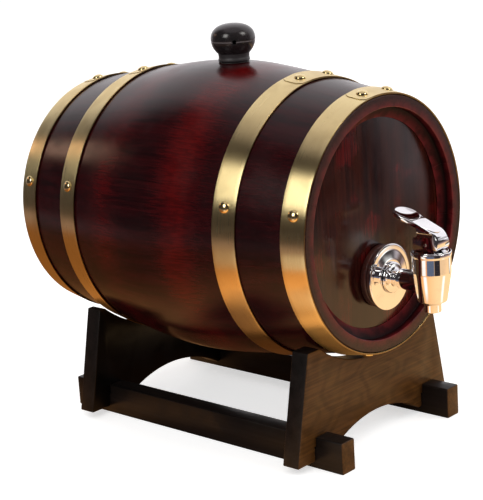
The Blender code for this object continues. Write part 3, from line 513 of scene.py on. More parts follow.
def brass_look(name, place_from, dull_low, dull_high):
    """Satin brass: rolled lines along the strip, cloudy tarnish and, on the strip, slit edges
    darkened as painted shade.
    """
    look, tree, shader = new_look(name, Metallic=1.0)
    if place_from == "strip":
        shader.inputs["Anisotropic"].default_value = 0.92
        shader.inputs["Anisotropic Rotation"].default_value = 0.25
        round_barrel = node(tree, "Tangent", direction_type="RADIAL", axis="Y")
        tree.links.new(round_barrel.outputs[0], shader.inputs["Tangent"])
    solid = node(tree, "TexCoord").outputs["Object"]
    place = node(tree, "Attribute", attribute_name="grain").outputs["Vector"] \
        if place_from == "strip" else solid
    lines = node(tree, "VectorMath", {0: place, 1: (18.0, 3800.0, 3800.0)
                                      if place_from == "strip" else (900.0, 900.0, 900.0)},
                 operation="MULTIPLY").outputs[0]
    rolled = node(tree, "TexNoise", {"Vector": lines, "Scale": 1.0, "Detail": 3.0}).outputs[0]
    tarnish = cloud(tree, solid, 55.0, 0.42, 0.72)
    specks = cloud(tree, solid, 700.0, 0.66, 0.76)
    colour = mix(tree, rolled, BRASS, BRASS_DULL)
    colour = mix(tree, span(tree, tarnish, 0.0, 0.28), colour, BRASS_TARNISH)
    colour = mix(tree, span(tree, specks, 0.0, 0.35), colour, BRASS_TARNISH)
    # painted shade: the strip's slit edges are darkened to dull their reflection
    if place_from == "strip":
        across = node(tree, "SeparateXYZ", {0: place}).outputs[1]
        across = node(tree, "Math", {0: across}, operation="ABSOLUTE").outputs[0]
        slit_edge_shade = ramp(tree, across, SLIT_EDGE_SHADE_FROM, SLIT_EDGE_SHADE_FROM + 0.00018, 0.0, 0.85)
        colour = mix(tree, slit_edge_shade, colour, SLIT_EDGE_SHADE)
    dull = calc(tree, "ADD", ramp(tree, rolled, 0.3, 0.7, dull_low, dull_high),
                span(tree, tarnish, 0.0, 0.06))
    feed(tree, shader, colour, dull, 0.03, 0.00003, rolled)
    return look


strip_brass = brass_look("brass_strip", "strip", 0.27, 0.33)
nail_brass = brass_look("brass_nails", "solid", 0.13, 0.20)


def strip_faces(degrees):
    """Height of the strip's under and upper side at an angle along it, scarfed at the lap."""
    under, upper = 0.0, HOOP_THICKNESS
    if degrees < LAP_EASE:
        done = (degrees - LAP_START) / (LAP_EASE - LAP_START)
        upper += LAP_STEP * (1 - done * done * (3 - 2 * done))
        under = HOOP_THICKNESS * max(0.0, 1 - (degrees - LAP_START) / (LAP_END - LAP_START)) ** 0.8
    elif degrees > 360.0 + LAP_START:
        under_lap = (degrees - 360.0 - LAP_START) / (LAP_END - LAP_START)
        upper = max(0.00004, HOOP_THICKNESS * (1 - under_lap) ** 0.8 - 0.00002)
    return under, upper


def hoop_mesh(middle):
    """The strip, from its outer end on the lap once round the barrel and in under the lap."""
    half = HOOP_WIDTH / 2
    section = soften([(-half, 0), (-half, HOOP_THICKNESS), (half, HOOP_THICKNESS), (half, 0)],
                     0.00030, 3, closed=True)
    ribs = (-0.66, -0.33, 0.0, 0.33, 0.66)
    outer = [(half * k, HOOP_THICKNESS) for k in ribs]
    inner = [(half * k, 0) for k in reversed(ribs)]
    section = section[:8] + outer + section[8:] + inner
    section = sorted(section, key=lambda p: math.atan2(p[1] - HOOP_THICKNESS / 2, p[0] / 20))
    steps = 200
    work = bmesh.new()
    layer = work.verts.layers.float_vector.new("grain")
    rings = []
    for i in range(steps + 1):
        degrees = LAP_START + (360.0 + LAP_END - LAP_START - 1.0) * i / steps
        if i < 4:
            degrees = LAP_START + i * 0.45
        turn = math.radians(degrees)
        reach = (degrees - LAP_START) * math.radians(1) * BELLY_RADIUS
        narrow = 1.0 - 0.45 * max(0.0, 1.0 - reach / 0.0030) ** 1.6
        under, upper = strip_faces(degrees)
        ring = []
        for across, height in section:
            along = middle + across * narrow
            height = under + (upper - under) * height / HOOP_THICKNESS
            radius = stave_radius(along) + HOOP_PLAY + height
            vertex = work.verts.new((radius * math.sin(turn), BARREL_Y + along,
                                     AXIS_Z + radius * math.cos(turn)))
            vertex[layer] = (turn * BELLY_RADIUS, across, height)
            ring.append(vertex)
        rings.append(ring)
    skin(work, rings)
    return finished_mesh(work)


def nail_mesh(middle, degrees):
    profile = [(NAIL_RADIUS * math.sin(math.pi / 2 * i / 9),
                NAIL_HEIGHT * math.cos(math.pi / 2 * i / 9)) for i in range(10)]
    profile += [(NAIL_RADIUS - 0.0003, -0.0001), (NAIL_SHANK, -0.0001), (NAIL_SHANK, -0.0052),
                (0, -0.0062)]
    slope = (stave_radius(middle + 0.001) - stave_radius(middle - 0.001)) / 0.002
    lift = stave_radius(middle) + HOOP_PLAY + HOOP_THICKNESS
    if LAP_START < degrees < LAP_EASE:
        lift = stave_radius(middle) + HOOP_PLAY + strip_faces(degrees)[1]
    place = Matrix.Translation((0, BARREL_Y + middle, AXIS_Z))
    place = place @ Matrix.Rotation(math.radians(degrees), 4, "Y")
    place = place @ Matrix.Translation((0, 0, lift)) @ Matrix.Rotation(math.atan(slope), 4, "X")
    return lathe(profile, 28, place)


HEAD_HOOP = BARREL_HALF - HOOP_WIDTH / 2
QUARTER_HOOP = BARREL_HALF - 0.0408 - HOOP_WIDTH / 2
ALL_ROUND = (-170.0, -75.0, -6.5, 11.0, 75.0)
CRADLED = (-75.0, -6.5, 11.0, 75.0)
for label, middle, angles in (("front_head", -HEAD_HOOP, ALL_ROUND),
                              ("front_quarter", -QUARTER_HOOP, ALL_ROUND),
                              ("rear_quarter", QUARTER_HOOP, CRADLED),
                              ("rear_head", HEAD_HOOP, ALL_ROUND)):
    add_piece(f"{label}_strip", hoop_mesh(middle), strip_brass, "barrel",
              [f"{label}_hoop"])
    for number, degrees in enumerate(angles, start=1):
        add_piece(f"{label}_dome_nail_{number}", nail_mesh(middle, degrees), nail_brass,
                  "barrel", [f"{label}_nail_{number}"])

# ---- Bung ------------------------------------------------------------------------------
# A moulded black stopper: a squat knob made in two halves that meet at a fine groove, with a
# small air vent in the side, a neck and a shank that a ribbed soft seal grips in the hole.
BUNG_TOP_Z = AXIS_Z + BELLY_RADIUS
KNOB_RADIUS, KNOB_MIDDLE, KNOB_TOP, KNOB_DEPTH = 0.01265, 0.01265, 0.0213, 0.0116
KNOB_FULLNESS = 0.86
BUNG_NECK, BUNG_SHANK, BUNG_SHANK_LENGTH = 0.0090, 0.0064, 0.0160
VENT_RADIUS, VENT_HEIGHT = 0.0011, 0.0115
VENT_TURN = math.radians(225.0)

black_plastic, tree, shader = new_look("gloss_black_plastic", IOR=1.5)
solid_place = node(tree, "TexCoord").outputs["Object"]
smears = cloud(tree, solid_place, 140.0, 0.35, 0.70)
scuffs = cloud(tree, solid_place, 900.0, 0.62, 0.72)
colour = mix(tree, smears, (0.0130, 0.0110, 0.0115), (0.0210, 0.0150, 0.0160))
colour = mix(tree, span(tree, scuffs, 0.0, 0.5), colour, (0.034, 0.030, 0.030))
# painted highlight: a pale line along the parting groove of the knob
level = node(tree, "SeparateXYZ", {0: solid_place}).outputs[2]
off_seam = calc(tree, "SUBTRACT", level, BUNG_TOP_Z + VENT_HEIGHT)
off_seam = node(tree, "Math", {0: off_seam}, operation="ABSOLUTE").outputs[0]
seam_highlight = ramp(tree, off_seam, 0.00018, 0.00042, 0.85, 0.0)
colour = mix(tree, seam_highlight, colour, (0.200, 0.170, 0.170))
neck = ramp(tree, level, BUNG_TOP_Z + 0.0040, BUNG_TOP_Z + 0.0048, 1.0, 0.0)
colour = mix(tree, neck, colour, mix(tree, scuffs, (0.034, 0.028, 0.030), (0.070, 0.062, 0.064)))
dullness = calc(tree, "ADD", span(tree, smears, 0.19, 0.26), calc(tree, "MULTIPLY", neck, 0.25))
feed(tree, shader, colour, dullness, 0.04, 0.00005, smears)

knob = []
for i in range(24):
    turn = math.pi / 2 * i / 24
    knob.append((KNOB_RADIUS * math.sin(turn) ** KNOB_FULLNESS,
                 KNOB_MIDDLE + (KNOB_TOP - KNOB_MIDDLE) * math.cos(turn) ** KNOB_FULLNESS))
knob_end = math.acos(BUNG_NECK / KNOB_RADIUS)
for i in range(19):
    turn = knob_end * i / 18
    knob.append((KNOB_RADIUS * math.cos(turn), KNOB_MIDDLE - KNOB_DEPTH * math.sin(turn)))
knob = [(wide, height) for wide, height in knob if abs(height - VENT_HEIGHT) > 0.00035]
groove = [(KNOB_RADIUS - 0.0001, VENT_HEIGHT + 0.00022), (KNOB_RADIUS - 0.00045, VENT_HEIGHT),
          (KNOB_RADIUS - 0.0001, VENT_HEIGHT - 0.00022)]
split_at = sum(1 for wide, height in knob if height > VENT_HEIGHT)
profile = knob[:split_at] + groove + knob[split_at:]
profile += soften([(BUNG_NECK - 0.0002, 0.0036), (BUNG_NECK - 0.0003, 0.0022),
                   (BUNG_NECK, 0.0012), (BUNG_NECK, 0.0003),
                   (BUNG_SHANK, 0.0003), (BUNG_SHANK, -BUNG_SHANK_LENGTH + 0.001),
                   (BUNG_SHANK - 0.001, -BUNG_SHANK_LENGTH), (0, -BUNG_SHANK_LENGTH)], 0.0003)
stopper = lathe(profile, 72, Matrix.Translation((0, BUNG_Y, BUNG_TOP_Z)))
vent_level = Matrix.Translation((0, BUNG_Y, BUNG_TOP_Z + VENT_HEIGHT))
sideways = Matrix.Rotation(VENT_TURN, 4, "Z") @ Matrix.Rotation(math.pi / 2, 4, "Y")
side_vent = lathe([(0, 0.016), (VENT_RADIUS + 0.0014, 0.016), (VENT_RADIUS, 0.0121),
                   (VENT_RADIUS, 0), (0, 0)], 32, vent_level @ sideways)
down_vent = lathe([(0, VENT_RADIUS), (VENT_RADIUS, VENT_RADIUS), (VENT_RADIUS, -0.032),
                   (0, -0.032)], 24, vent_level)
stopper = combined(stopper, combined(side_vent, down_vent, "UNION"))
add_piece("bung_knob_and_shank", stopper, black_plastic, "bung",
          ["bung_stopper"], 28.0)

rubber, tree, shader = new_look("black_rubber")
solid_place = node(tree, "TexCoord").outputs["Object"]
bloom = cloud(tree, solid_place, 260.0, 0.35, 0.70)
colour = mix(tree, bloom, (0.014, 0.014, 0.014), (0.032, 0.031, 0.030))
feed(tree, shader, colour, span(tree, bloom, 0.55, 0.75), 0.2, 0.0001, bloom)


def refinish(name, look):
    """Give a CAD node that stays in the scene its material."""
    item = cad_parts[name]
    item.data.materials.clear()
    item.data.materials.append(look)


for name in ("bung_seal", "tap_washer", "tap_seal"):
    refinish(name, rubber)

# ---- Tap mount -------------------------------------------------------------------------
# A dished chrome flange and the round oak pad behind it, both strung on the tap's threaded
# shank. A rubber washer and a hexagonal lock nut draw them against the head from inside.
PAD_RADIUS, PAD_THICKNESS = 0.0172, 0.0036
FLANGE_RADIUS, FLANGE_THICKNESS = 0.0184, 0.0044
CLEARANCE = 0.0003
FROM_HEAD = Matrix.Translation((0, HEAD_FACE_Y, TAP_Z)) @ ALONG_AXIS

pad_oak, tree, shader = new_look("stained_pad", IOR=1.5)
solid_place = node(tree, "TexCoord").outputs["Object"]
split = node(tree, "SeparateXYZ", {0: solid_place}).outputs
upright = node(tree, "CombineXYZ", {0: split[0], 1: split[2], 2: split[1]}).outputs[0]
grain = use_effect(tree, oak_grain, Place=upright, Fineness=1.2)
colour = mix(tree, grain["Figure"], (0.060, 0.018, 0.014), (0.125, 0.036, 0.024))
colour = mix(tree, grain["Streak"], colour, (0.028, 0.008, 0.007))
feed(tree, shader, colour, span(tree, grain["Streak"], 0.25, 0.38), 0.12, 0.00006, grain["Streak"])

hole = SHANK_HOLE_RADIUS
pad_front = CLEARANCE + PAD_THICKNESS
pad = soften([(hole, pad_front), (PAD_RADIUS, pad_front), (PAD_RADIUS, CLEARANCE),
              (hole, CLEARANCE)], 0.0010, 4, closed=True)
add_piece("pad_disc", lathe(pad, 72, FROM_HEAD, closed=True), pad_oak, "barrel",
          ["tap_pad"])

chrome, tree, shader = new_look("bright_chrome", Metallic=1.0)
solid_place = node(tree, "TexCoord").outputs["Object"]
haze = cloud(tree, solid_place, 120.0, 0.40, 0.75)
specks = cloud(tree, solid_place, 1400.0, 0.68, 0.76)
colour = mix(tree, haze, (0.900, 0.900, 0.915), (0.820, 0.820, 0.840))
colour = mix(tree, span(tree, specks, 0.0, 0.4), colour, (0.45, 0.44, 0.43))
waves = cloud(tree, solid_place, 70.0, 0.1, 0.9)
feed(tree, shader, colour, span(tree, haze, 0.035, 0.085), 0.02, 0.00010, waves)

back = pad_front + CLEARANCE
front = back + FLANGE_THICKNESS
flange = soften([(hole, front), (0.0100, front), (0.0150, front - 0.0007),
                 (FLANGE_RADIUS - 0.0006, front - 0.0006), (FLANGE_RADIUS, front - 0.0011),
                 (FLANGE_RADIUS - 0.0004, front - 0.0018), (0.0173, front - 0.0028),
                 (0.0168, back + 0.0006), (0.0164, back), (hole, back)],
                0.0006, 4, closed=True)
add_piece("flange_dish", lathe(flange, 96, FROM_HEAD, closed=True), chrome, "barrel",
          ["tap_flange"])
refinish("tap_lock_nut", chrome)

# ---- Tap body --------------------------------------------------------------------------
# One cast and chromed body: an upright tapered barrel with a rolled top band and a nozzle, on
# a level neck whose collar bears on the flange and whose shank runs through the head.
TAP_RADIUS, TAP_TOP = 0.0108, 0.0180
NOZZLE_RADIUS, NOZZLE_TOP, NOZZLE_BOTTOM, NOZZLE_BORE = 0.0046, -0.0108, -0.0153, 0.0027
NECK_RADIUS, THROAT_RADIUS, COLLAR_RADIUS, SHANK_RADIUS = 0.0056, 0.0046, 0.0086, 0.0069
CHAMBER_RADIUS, VALVE_SEAT = 0.0056, -0.0055
BONNET_RADIUS, BONNET_THICKNESS, BONNET_PLUG = 0.0092, 0.0016, 0.0050
AT_TAP = Matrix.Translation((0, TAP_Y, TAP_Z))

outer = [(0, TAP_TOP)]
outer += soften([(TAP_RADIUS - 0.0012, TAP_TOP), (TAP_RADIUS, TAP_TOP),
                 (TAP_RADIUS, TAP_TOP - 0.0022), (TAP_RADIUS - 0.0004, TAP_TOP - 0.0025),
                 (TAP_RADIUS - 0.0004, 0.0065), (0.0078, -0.0092), (NOZZLE_RADIUS, NOZZLE_TOP),
                 (NOZZLE_RADIUS, NOZZLE_BOTTOM), (NOZZLE_RADIUS - 0.001, NOZZLE_BOTTOM)],
                0.0005, 4)
outer.append((0, NOZZLE_BOTTOM))
tap = lathe(outer, 88, AT_TAP)
collar = PAD_THICKNESS + FLANGE_THICKNESS + 3 * CLEARANCE
arm_end = HEAD_FACE_Y - TAP_Y
arm_inner = -0.0190
arm = [(0, arm_end)]
arm += soften([(NECK_RADIUS, arm_end), (NECK_RADIUS, collar + 0.0064),
               (THROAT_RADIUS, collar + 0.0047), (THROAT_RADIUS, collar + 0.0022),
               (0.0060, collar + 0.0018), (0.0080, collar + 0.0016),
               (COLLAR_RADIUS, collar + 0.0009), (COLLAR_RADIUS, collar),
               (SHANK_RADIUS, collar), (SHANK_RADIUS, arm_inner),
               (SHANK_RADIUS - 0.001, arm_inner)], 0.0004, 4)
arm.append((0, arm_inner))
tap = combined(tap, lathe(arm, 64, FROM_HEAD), "UNION")
seat = TAP_TOP - BONNET_THICKNESS
chamber = [(0, TAP_TOP + 0.002), (BONNET_RADIUS + CLEARANCE, TAP_TOP + 0.002),
           (BONNET_RADIUS + CLEARANCE, seat), (CHAMBER_RADIUS + 0.0008, seat),
           (CHAMBER_RADIUS + 0.0008, seat - BONNET_PLUG - CLEARANCE),
           (CHAMBER_RADIUS, seat - BONNET_PLUG - 0.001), (CHAMBER_RADIUS, VALVE_SEAT),
           (NOZZLE_BORE, VALVE_SEAT), (NOZZLE_BORE, NOZZLE_BOTTOM + 0.0005),
           (NOZZLE_BORE + 0.0006, NOZZLE_BOTTOM), (NOZZLE_BORE + 0.0006, NOZZLE_BOTTOM - 0.002),
           (0, NOZZLE_BOTTOM - 0.002)]
tap = combined(tap, lathe(chamber, 64, AT_TAP))
bore = lathe([(0, arm_end), (0.0030, arm_end), (0.0030, arm_inner - 0.002),
              (0, arm_inner - 0.002)], 32, FROM_HEAD)
add_piece("tap_casting", combined(tap, bore), chrome, "barrel", ["tap_body"], 32.0)

# ---- Bonnet, stem, spring and pin ------------------------------------------------------
# The bonnet closes the top of the tap and guides the stem. The stem ends above in a flat
# tongue for the lever's pin and below in the valve disc, which the coil spring holds shut.
STEM_RADIUS, TONGUE_RADIUS, TONGUE_WIDTH = 0.0017, 0.0024, 0.0026
TONGUE_STOCK = 0.0006                                 # left on for the two flats to cut off
PIN_RADIUS, PIN_PLAY = 0.0009, 0.0001
PIN_RISE = 0.0220                                     # pin above the middle of the tap
LEVER_HALF = 0.0055
AT_PIN = Matrix.Translation((0, TAP_Y, TAP_Z + PIN_RISE))
SIDE_VIEW = Matrix.Rotation(math.pi / 2, 4, "Z") @ Matrix.Rotation(math.pi / 2, 4, "X")


def arc(centre, radius, start, end, count):
    """Points on a circle, both ends included."""
    return [(centre[0] + radius * math.cos(start + (end - start) * i / count),
             centre[1] + radius * math.sin(start + (end - start) * i / count))
            for i in range(count + 1)]


def plate(outline, thickness, matrix):
    """A flat outline made into a plate, half its thickness to each side."""
    work = bmesh.new()
    sides = [[work.verts.new((x, y, z)) for x, y in outline]
             for z in (-thickness / 2, thickness / 2)]
    skin(work, sides)
    return finished_mesh(work, matrix)


bonnet_top = TAP_TOP + CLEARANCE
plug = CHAMBER_RADIUS + 0.0005
plug_bottom = seat + CLEARANCE - BONNET_PLUG
bonnet = soften([(STEM_RADIUS + CLEARANCE, bonnet_top), (BONNET_RADIUS, bonnet_top),
                 (BONNET_RADIUS, seat + CLEARANCE), (plug, seat + CLEARANCE),
                 (plug, plug_bottom), (STEM_RADIUS + CLEARANCE, plug_bottom)],
                0.0003, 3, closed=True)
add_piece("bonnet_ring", lathe(bonnet, 72, AT_TAP, closed=True), chrome, "barrel",
          ["tap_bonnet"])

disc_bottom = VALVE_SEAT + CLEARANCE + 0.0018 + CLEARANCE
disc_top = disc_bottom + 0.0015
stem = lathe([(0, PIN_RISE), (STEM_RADIUS, PIN_RISE), (STEM_RADIUS, disc_top),
              (0.0040, disc_top), (0.0042, disc_top - 0.0002), (0.0042, disc_bottom),
              (0, disc_bottom)], 40, AT_TAP)
tongue = arc((0, 0), TONGUE_RADIUS, 0, math.pi, 24)
tongue += [(-STEM_RADIUS, -0.0024), (STEM_RADIUS, -0.0024)]
stem = combined(stem, plate(tongue, TONGUE_WIDTH + TONGUE_STOCK, AT_PIN @ SIDE_VIEW), "UNION")
for side in (-1, 1):
    flat = plate([(-0.0035, -0.0080), (0.0035, -0.0080), (0.0035, 0.0030), (-0.0035, 0.0030)],
                 0.002, AT_PIN @ Matrix.Translation((side * (TONGUE_WIDTH / 2 + 0.001), 0, 0))
                 @ SIDE_VIEW)
    stem = combined(stem, flat)
across_pin = AT_PIN @ Matrix.Rotation(math.pi / 2, 4, "Y")
eye_radius = PIN_RADIUS + PIN_PLAY
eye = [(0, 0.012), (eye_radius, 0.012), (eye_radius, -0.012), (0, -0.012)]
add_piece("stem_and_tongue", combined(stem, lathe(eye, 32, across_pin)), chrome, "valve_stem",
          ["tap_stem"])

pin_end = LEVER_HALF - PIN_PLAY
pin = soften([(0, pin_end), (PIN_RADIUS, pin_end), (PIN_RADIUS, -pin_end), (0, -pin_end)], 0.0002)
add_piece("hinge_pin", lathe(pin, 32, across_pin), chrome, "valve_stem", ["lever_pin"])

WIRE, COIL_RADIUS, COIL_TURNS = 0.0003, 0.0036, 5
TURN_STEPS, WIRE_SIDES = 28, 10
coil_bottom = disc_top + CLEARANCE + WIRE
coil_rise = plug_bottom - CLEARANCE - WIRE - coil_bottom
work = bmesh.new()
rings = []
for i in range(COIL_TURNS * TURN_STEPS + 1):
    turn = 2 * math.pi * i / TURN_STEPS
    ring = []
    for k in range(WIRE_SIDES):
        out = WIRE * math.cos(2 * math.pi * k / WIRE_SIDES)
        up = WIRE * math.sin(2 * math.pi * k / WIRE_SIDES)
        height = coil_bottom + coil_rise * i / (COIL_TURNS * TURN_STEPS) + up
        ring.append(work.verts.new(((COIL_RADIUS + out) * math.cos(turn),
                                    (COIL_RADIUS + out) * math.sin(turn), height)))
    rings.append(ring)
skin(work, rings)
spring = add_piece("closing_spring", finished_mesh(work, AT_TAP), chrome, "barrel",
                   ["tap_spring"])
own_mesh(spring)

# ---- Lever -----------------------------------------------------------------------------
# A cast chrome flip lever: a rounded hub astride the stem's tongue, a grooved arm that rises
# towards the barrel and a round dished paddle for the thumb. It turns on the hinge pin.
PADDLE_RADIUS, PADDLE_Y, PADDLE_TOP = 0.0074, 0.0147, 0.0147
PADDLE_TILT = math.radians(21.0)                      # level with the slope of the arm
TRAVEL = math.radians(60.0)
HUB_RADIUS = 0.0034
SPOON_LENGTH, SPOON_END, SPOON_THICKNESS = 0.0175, 0.0042, 0.0022

side_outline = arc((-0.0044, 0), HUB_RADIUS, -math.pi / 2, -math.pi, 16)
side_outline += soften([(-0.0079, 0.0014), (-0.0078, 0.0030), (-0.0071, 0.0048),
                        (-0.0062, 0.0059), (-0.0050, 0.0066), (0.0082, 0.0123),
                        (0.0100, 0.0119), (0.0160, 0.0129), (0.0160, 0.0121),
                        (0.0130, 0.0112), (0.0066, 0.0085), (0.0054, 0.0074),
                        (0.0052, 0.0042), (0.0078, 0.0033), (0.0078, -0.0034)], 0.0007, 4)
lever = plate(side_outline, 3 * LEVER_HALF, AT_PIN @ SIDE_VIEW)
work = bmesh.new()
rings = []
for height, radius in ((-0.010, 0.0079), (0.0008, 0.0079), (0.0065, LEVER_HALF),
                       (0.020, LEVER_HALF)):
    nose = arc((-0.0024, 0), radius, math.pi / 2, 3 * math.pi / 2, 40)
    ring = [(y, max(-LEVER_HALF, min(LEVER_HALF, x))) for y, x in nose]
    ring += [(0.020, -LEVER_HALF), (0.020, LEVER_HALF)]
    rings.append([work.verts.new((-x, y, height)) for y, x in ring])
skin(work, rings)
lever = combined(lever, finished_mesh(work, AT_PIN), "INTERSECT")
for side in (-1, 1):
    middle = Matrix.Translation((side * (LEVER_HALF + 0.0008), 0, 0.0054)) @ ALONG_AXIS
    groove = lathe([(0, 0.0044), (0.0015, 0.0044), (0.0015, -0.0100), (0, -0.0100)], 24,
                   AT_PIN @ middle)
    lever = combined(lever, groove)
lever = worked(lever, "BEVEL", width=0.0004, segments=3, limit_method="ANGLE",
               angle_limit=math.radians(38.0))
paddle = [(0, -0.0013)]
paddle += soften([(0.0035, -0.0010), (0.0060, -0.0003), (0.0067, 0.0),
                  (PADDLE_RADIUS - 0.0001, 0.0), (PADDLE_RADIUS, -0.0008),
                  (PADDLE_RADIUS, -0.0020), (PADDLE_RADIUS - 0.0008, -0.0029),
                  (0.0040, -0.0031)], 0.0005, 4)
paddle.append((0, -0.0031))
at_paddle = AT_PIN @ Matrix.Translation((0, PADDLE_Y, PADDLE_TOP))
at_paddle = at_paddle @ Matrix.Rotation(PADDLE_TILT, 4, "X")
lever = combined(lever, lathe(paddle, 80, at_paddle), "UNION")
tangent = math.acos((PADDLE_RADIUS - SPOON_END) / SPOON_LENGTH) - math.pi / 2
spoon = [(k * (PADDLE_RADIUS - 0.0001) * math.cos(tangent),
          (PADDLE_RADIUS - 0.0001) * math.sin(tangent)) for k in (1, -1)]
spoon = spoon[:1] + arc((0, -SPOON_LENGTH), SPOON_END, tangent, -math.pi - tangent, 28) + spoon[1:]
spoon += arc((0, 0), PADDLE_RADIUS - 0.0004, -math.pi - tangent, tangent, 36)
under_rim = Matrix.Translation((0, 0, -SPOON_THICKNESS / 2 - 0.0001))
spoon = worked(plate(spoon, SPOON_THICKNESS, at_paddle @ under_rim), "BEVEL", width=0.00025,
               segments=2, limit_method="ANGLE", angle_limit=math.radians(50.0))
lever = combined(lever, spoon, "UNION")
roof = TONGUE_RADIUS + CLEARANCE
slot_side = STEM_RADIUS + CLEARANCE
swing = -math.pi / 2 - TRAVEL
lean = math.acos(slot_side / roof)
slot = arc((0, 0), roof, -lean, swing + 3 * math.pi / 2 + lean, 24)
mouth = Vector(slot[-1]) + Vector((math.cos(swing), math.sin(swing))) * 0.012
slot = [(slot_side, -0.012)] + slot + [tuple(mouth), (mouth.x, -0.012)]
lever = combined(lever, plate(slot, TONGUE_WIDTH + 2 * CLEARANCE, AT_PIN @ SIDE_VIEW))
lever = combined(lever, lathe(eye, 32, across_pin))
add_piece("flip_lever", lever, chrome, "lever", ["tap_lever"], 30.0)

# ---- Stand -----------------------------------------------------------------------------
# Two cradle boards, arched below, cross-lapped and glued over two rails. They are plain wood
# under black paint with a low gloss, and the grain shows faintly through it. The faces that
# look along the barrel carry a painted warm reflection, on the rear board a painted shade.
RAIL_HEIGHT, RAIL_THICKNESS, RAIL_OUTER_X = 0.0178, 0.0109, 0.0549
RAIL_FRONT, RAIL_REAR, RAIL_NOTCH = -0.1137, 0.0914, 0.0060
BOARD_THICKNESS, BOARD_LIFT, BOARD_HEIGHT = 0.0109, 0.0042, 0.0607
BOARD_HALF_BOTTOM, BOARD_HALF_TOP = 0.0698, 0.0570
BOARD_FRONTS = (("front", -0.0956), ("rear", 0.0630))
ARCH_HALF_SPAN, ARCH_RISE = 0.0410, 0.0119
CRADLE_SLACK = 0.0018
STAND_EASE = 0.0007

PAINT_BLACK = (0.0147, 0.0099, 0.0084)
WARM_REFLECTION_BROWN = (0.1120, 0.0450, 0.0110)
PAINT_SHADE = (0.0012, 0.0010, 0.0010)


def paint_look(name, grain_axis, painted_light_tone):
    """Black paint, and on the faces that look along the barrel a painted tone of light and shade.
    """
    look, tree, shader = new_look(name, IOR=1.45, Specular_IOR_Level=0.22)
    solid = node(tree, "TexCoord").outputs
    split = node(tree, "SeparateXYZ", {0: solid["Object"]}).outputs
    order = (2, 0, 1) if grain_axis == "x" else (2, 1, 0)
    place = node(tree, "CombineXYZ", {i: split[k] for i, k in enumerate(order)}).outputs[0]
    grain = use_effect(tree, oak_grain, Place=place, Fineness=0.7)
    facing = node(tree, "SeparateXYZ", {0: solid["Normal"]}).outputs[1]
    facing = ramp(tree, node(tree, "Math", {0: facing}, operation="ABSOLUTE").outputs[0], 0.3, 0.9)
    colour = mix(tree, grain["Figure"], PAINT_BLACK, (0.0068, 0.0052, 0.0046))
    swirl = node(tree, "VectorMath", {0: solid["Object"], 1: (26.0, 26.0, 44.0)},
                 operation="MULTIPLY").outputs[0]
    swirl = node(tree, "TexNoise", {"Vector": swirl, "Scale": 1.0, "Detail": 1.0}).outputs[0]
    rings = node(tree, "Math", {0: calc(tree, "MULTIPLY", swirl, 48.0)},
                 operation="SINE").outputs[0]
    darker = tuple(0.78 * value for value in painted_light_tone)
    faces_along = mix(tree, ramp(tree, rings, -0.6, 1.0), painted_light_tone, darker)
    # painted light: the faces that look along the barrel take the tone given for them
    colour = mix(tree, facing, colour, faces_along)
    colour = mix(tree, span(tree, grain["Streak"], 0.0, 0.4), colour, (0.0028, 0.0020, 0.0018))
    scuffs = cloud(tree, solid["Object"], 90.0, 0.35, 0.7)
    feed(tree, shader, colour, span(tree, scuffs, 0.30, 0.44), 0.12, 0.00010, grain["Streak"])
    return look


# front board and rails: painted warm reflection; rear board: painted shade
front_paint = paint_look("painted_front_board", "x", WARM_REFLECTION_BROWN)
rear_paint = paint_look("painted_rear_board", "x", PAINT_SHADE)
rail_paint = paint_look("painted_rails", "y", WARM_REFLECTION_BROWN)


def eased(mesh):
    return worked(mesh, "BEVEL", width=STAND_EASE, segments=3, limit_method="ANGLE",
                  angle_limit=math.radians(35.0))


for label, front_y in BOARD_FRONTS:
    nearest = front_y if front_y > 0 else front_y + BOARD_THICKNESS
    carried = stave_radius(nearest) + 2 * CLEARANCE + HOOP_THICKNESS
    radius = carried + CRADLE_SLACK
    centre_z = AXIS_Z - carried + radius
    top = BOARD_LIFT + BOARD_HEIGHT
    reach = math.asin((centre_z - top) / radius)
    arch_radius = (ARCH_HALF_SPAN ** 2 + ARCH_RISE ** 2) / (2 * ARCH_RISE)
    arch_centre = BOARD_LIFT + ARCH_RISE - arch_radius
    arch_angle = math.asin(ARCH_HALF_SPAN / arch_radius)
    half_slot = RAIL_THICKNESS / 2 + CLEARANCE / 2
    rail_x = RAIL_OUTER_X - RAIL_THICKNESS / 2
    slot_top = RAIL_HEIGHT - RAIL_NOTCH + CLEARANCE
    notch = [(rail_x - half_slot, BOARD_LIFT), (rail_x - half_slot, slot_top),
             (rail_x + half_slot, slot_top), (rail_x + half_slot, BOARD_LIFT)]
    outline = [(BOARD_HALF_BOTTOM, BOARD_LIFT), (BOARD_HALF_TOP, top)]
    outline += arc((0, centre_z), radius, -reach, -math.pi + reach, 56)
    outline += [(-BOARD_HALF_TOP, top), (-BOARD_HALF_BOTTOM, BOARD_LIFT)]
    outline += [(-x, z) for x, z in reversed(notch)]
    outline += arc((0, arch_centre), arch_radius, math.pi / 2 + arch_angle,
                   math.pi / 2 - arch_angle, 36)
    outline += notch
    at_board = Matrix.Translation((0, BARREL_Y + front_y + BOARD_THICKNESS / 2, 0)) @ ALONG_AXIS
    add_piece(f"{label}_cradle_board", eased(plate(outline, BOARD_THICKNESS, at_board)),
              front_paint if label == "front" else rear_paint, "stand",
              [f"{label}_cradle"], 30.0)

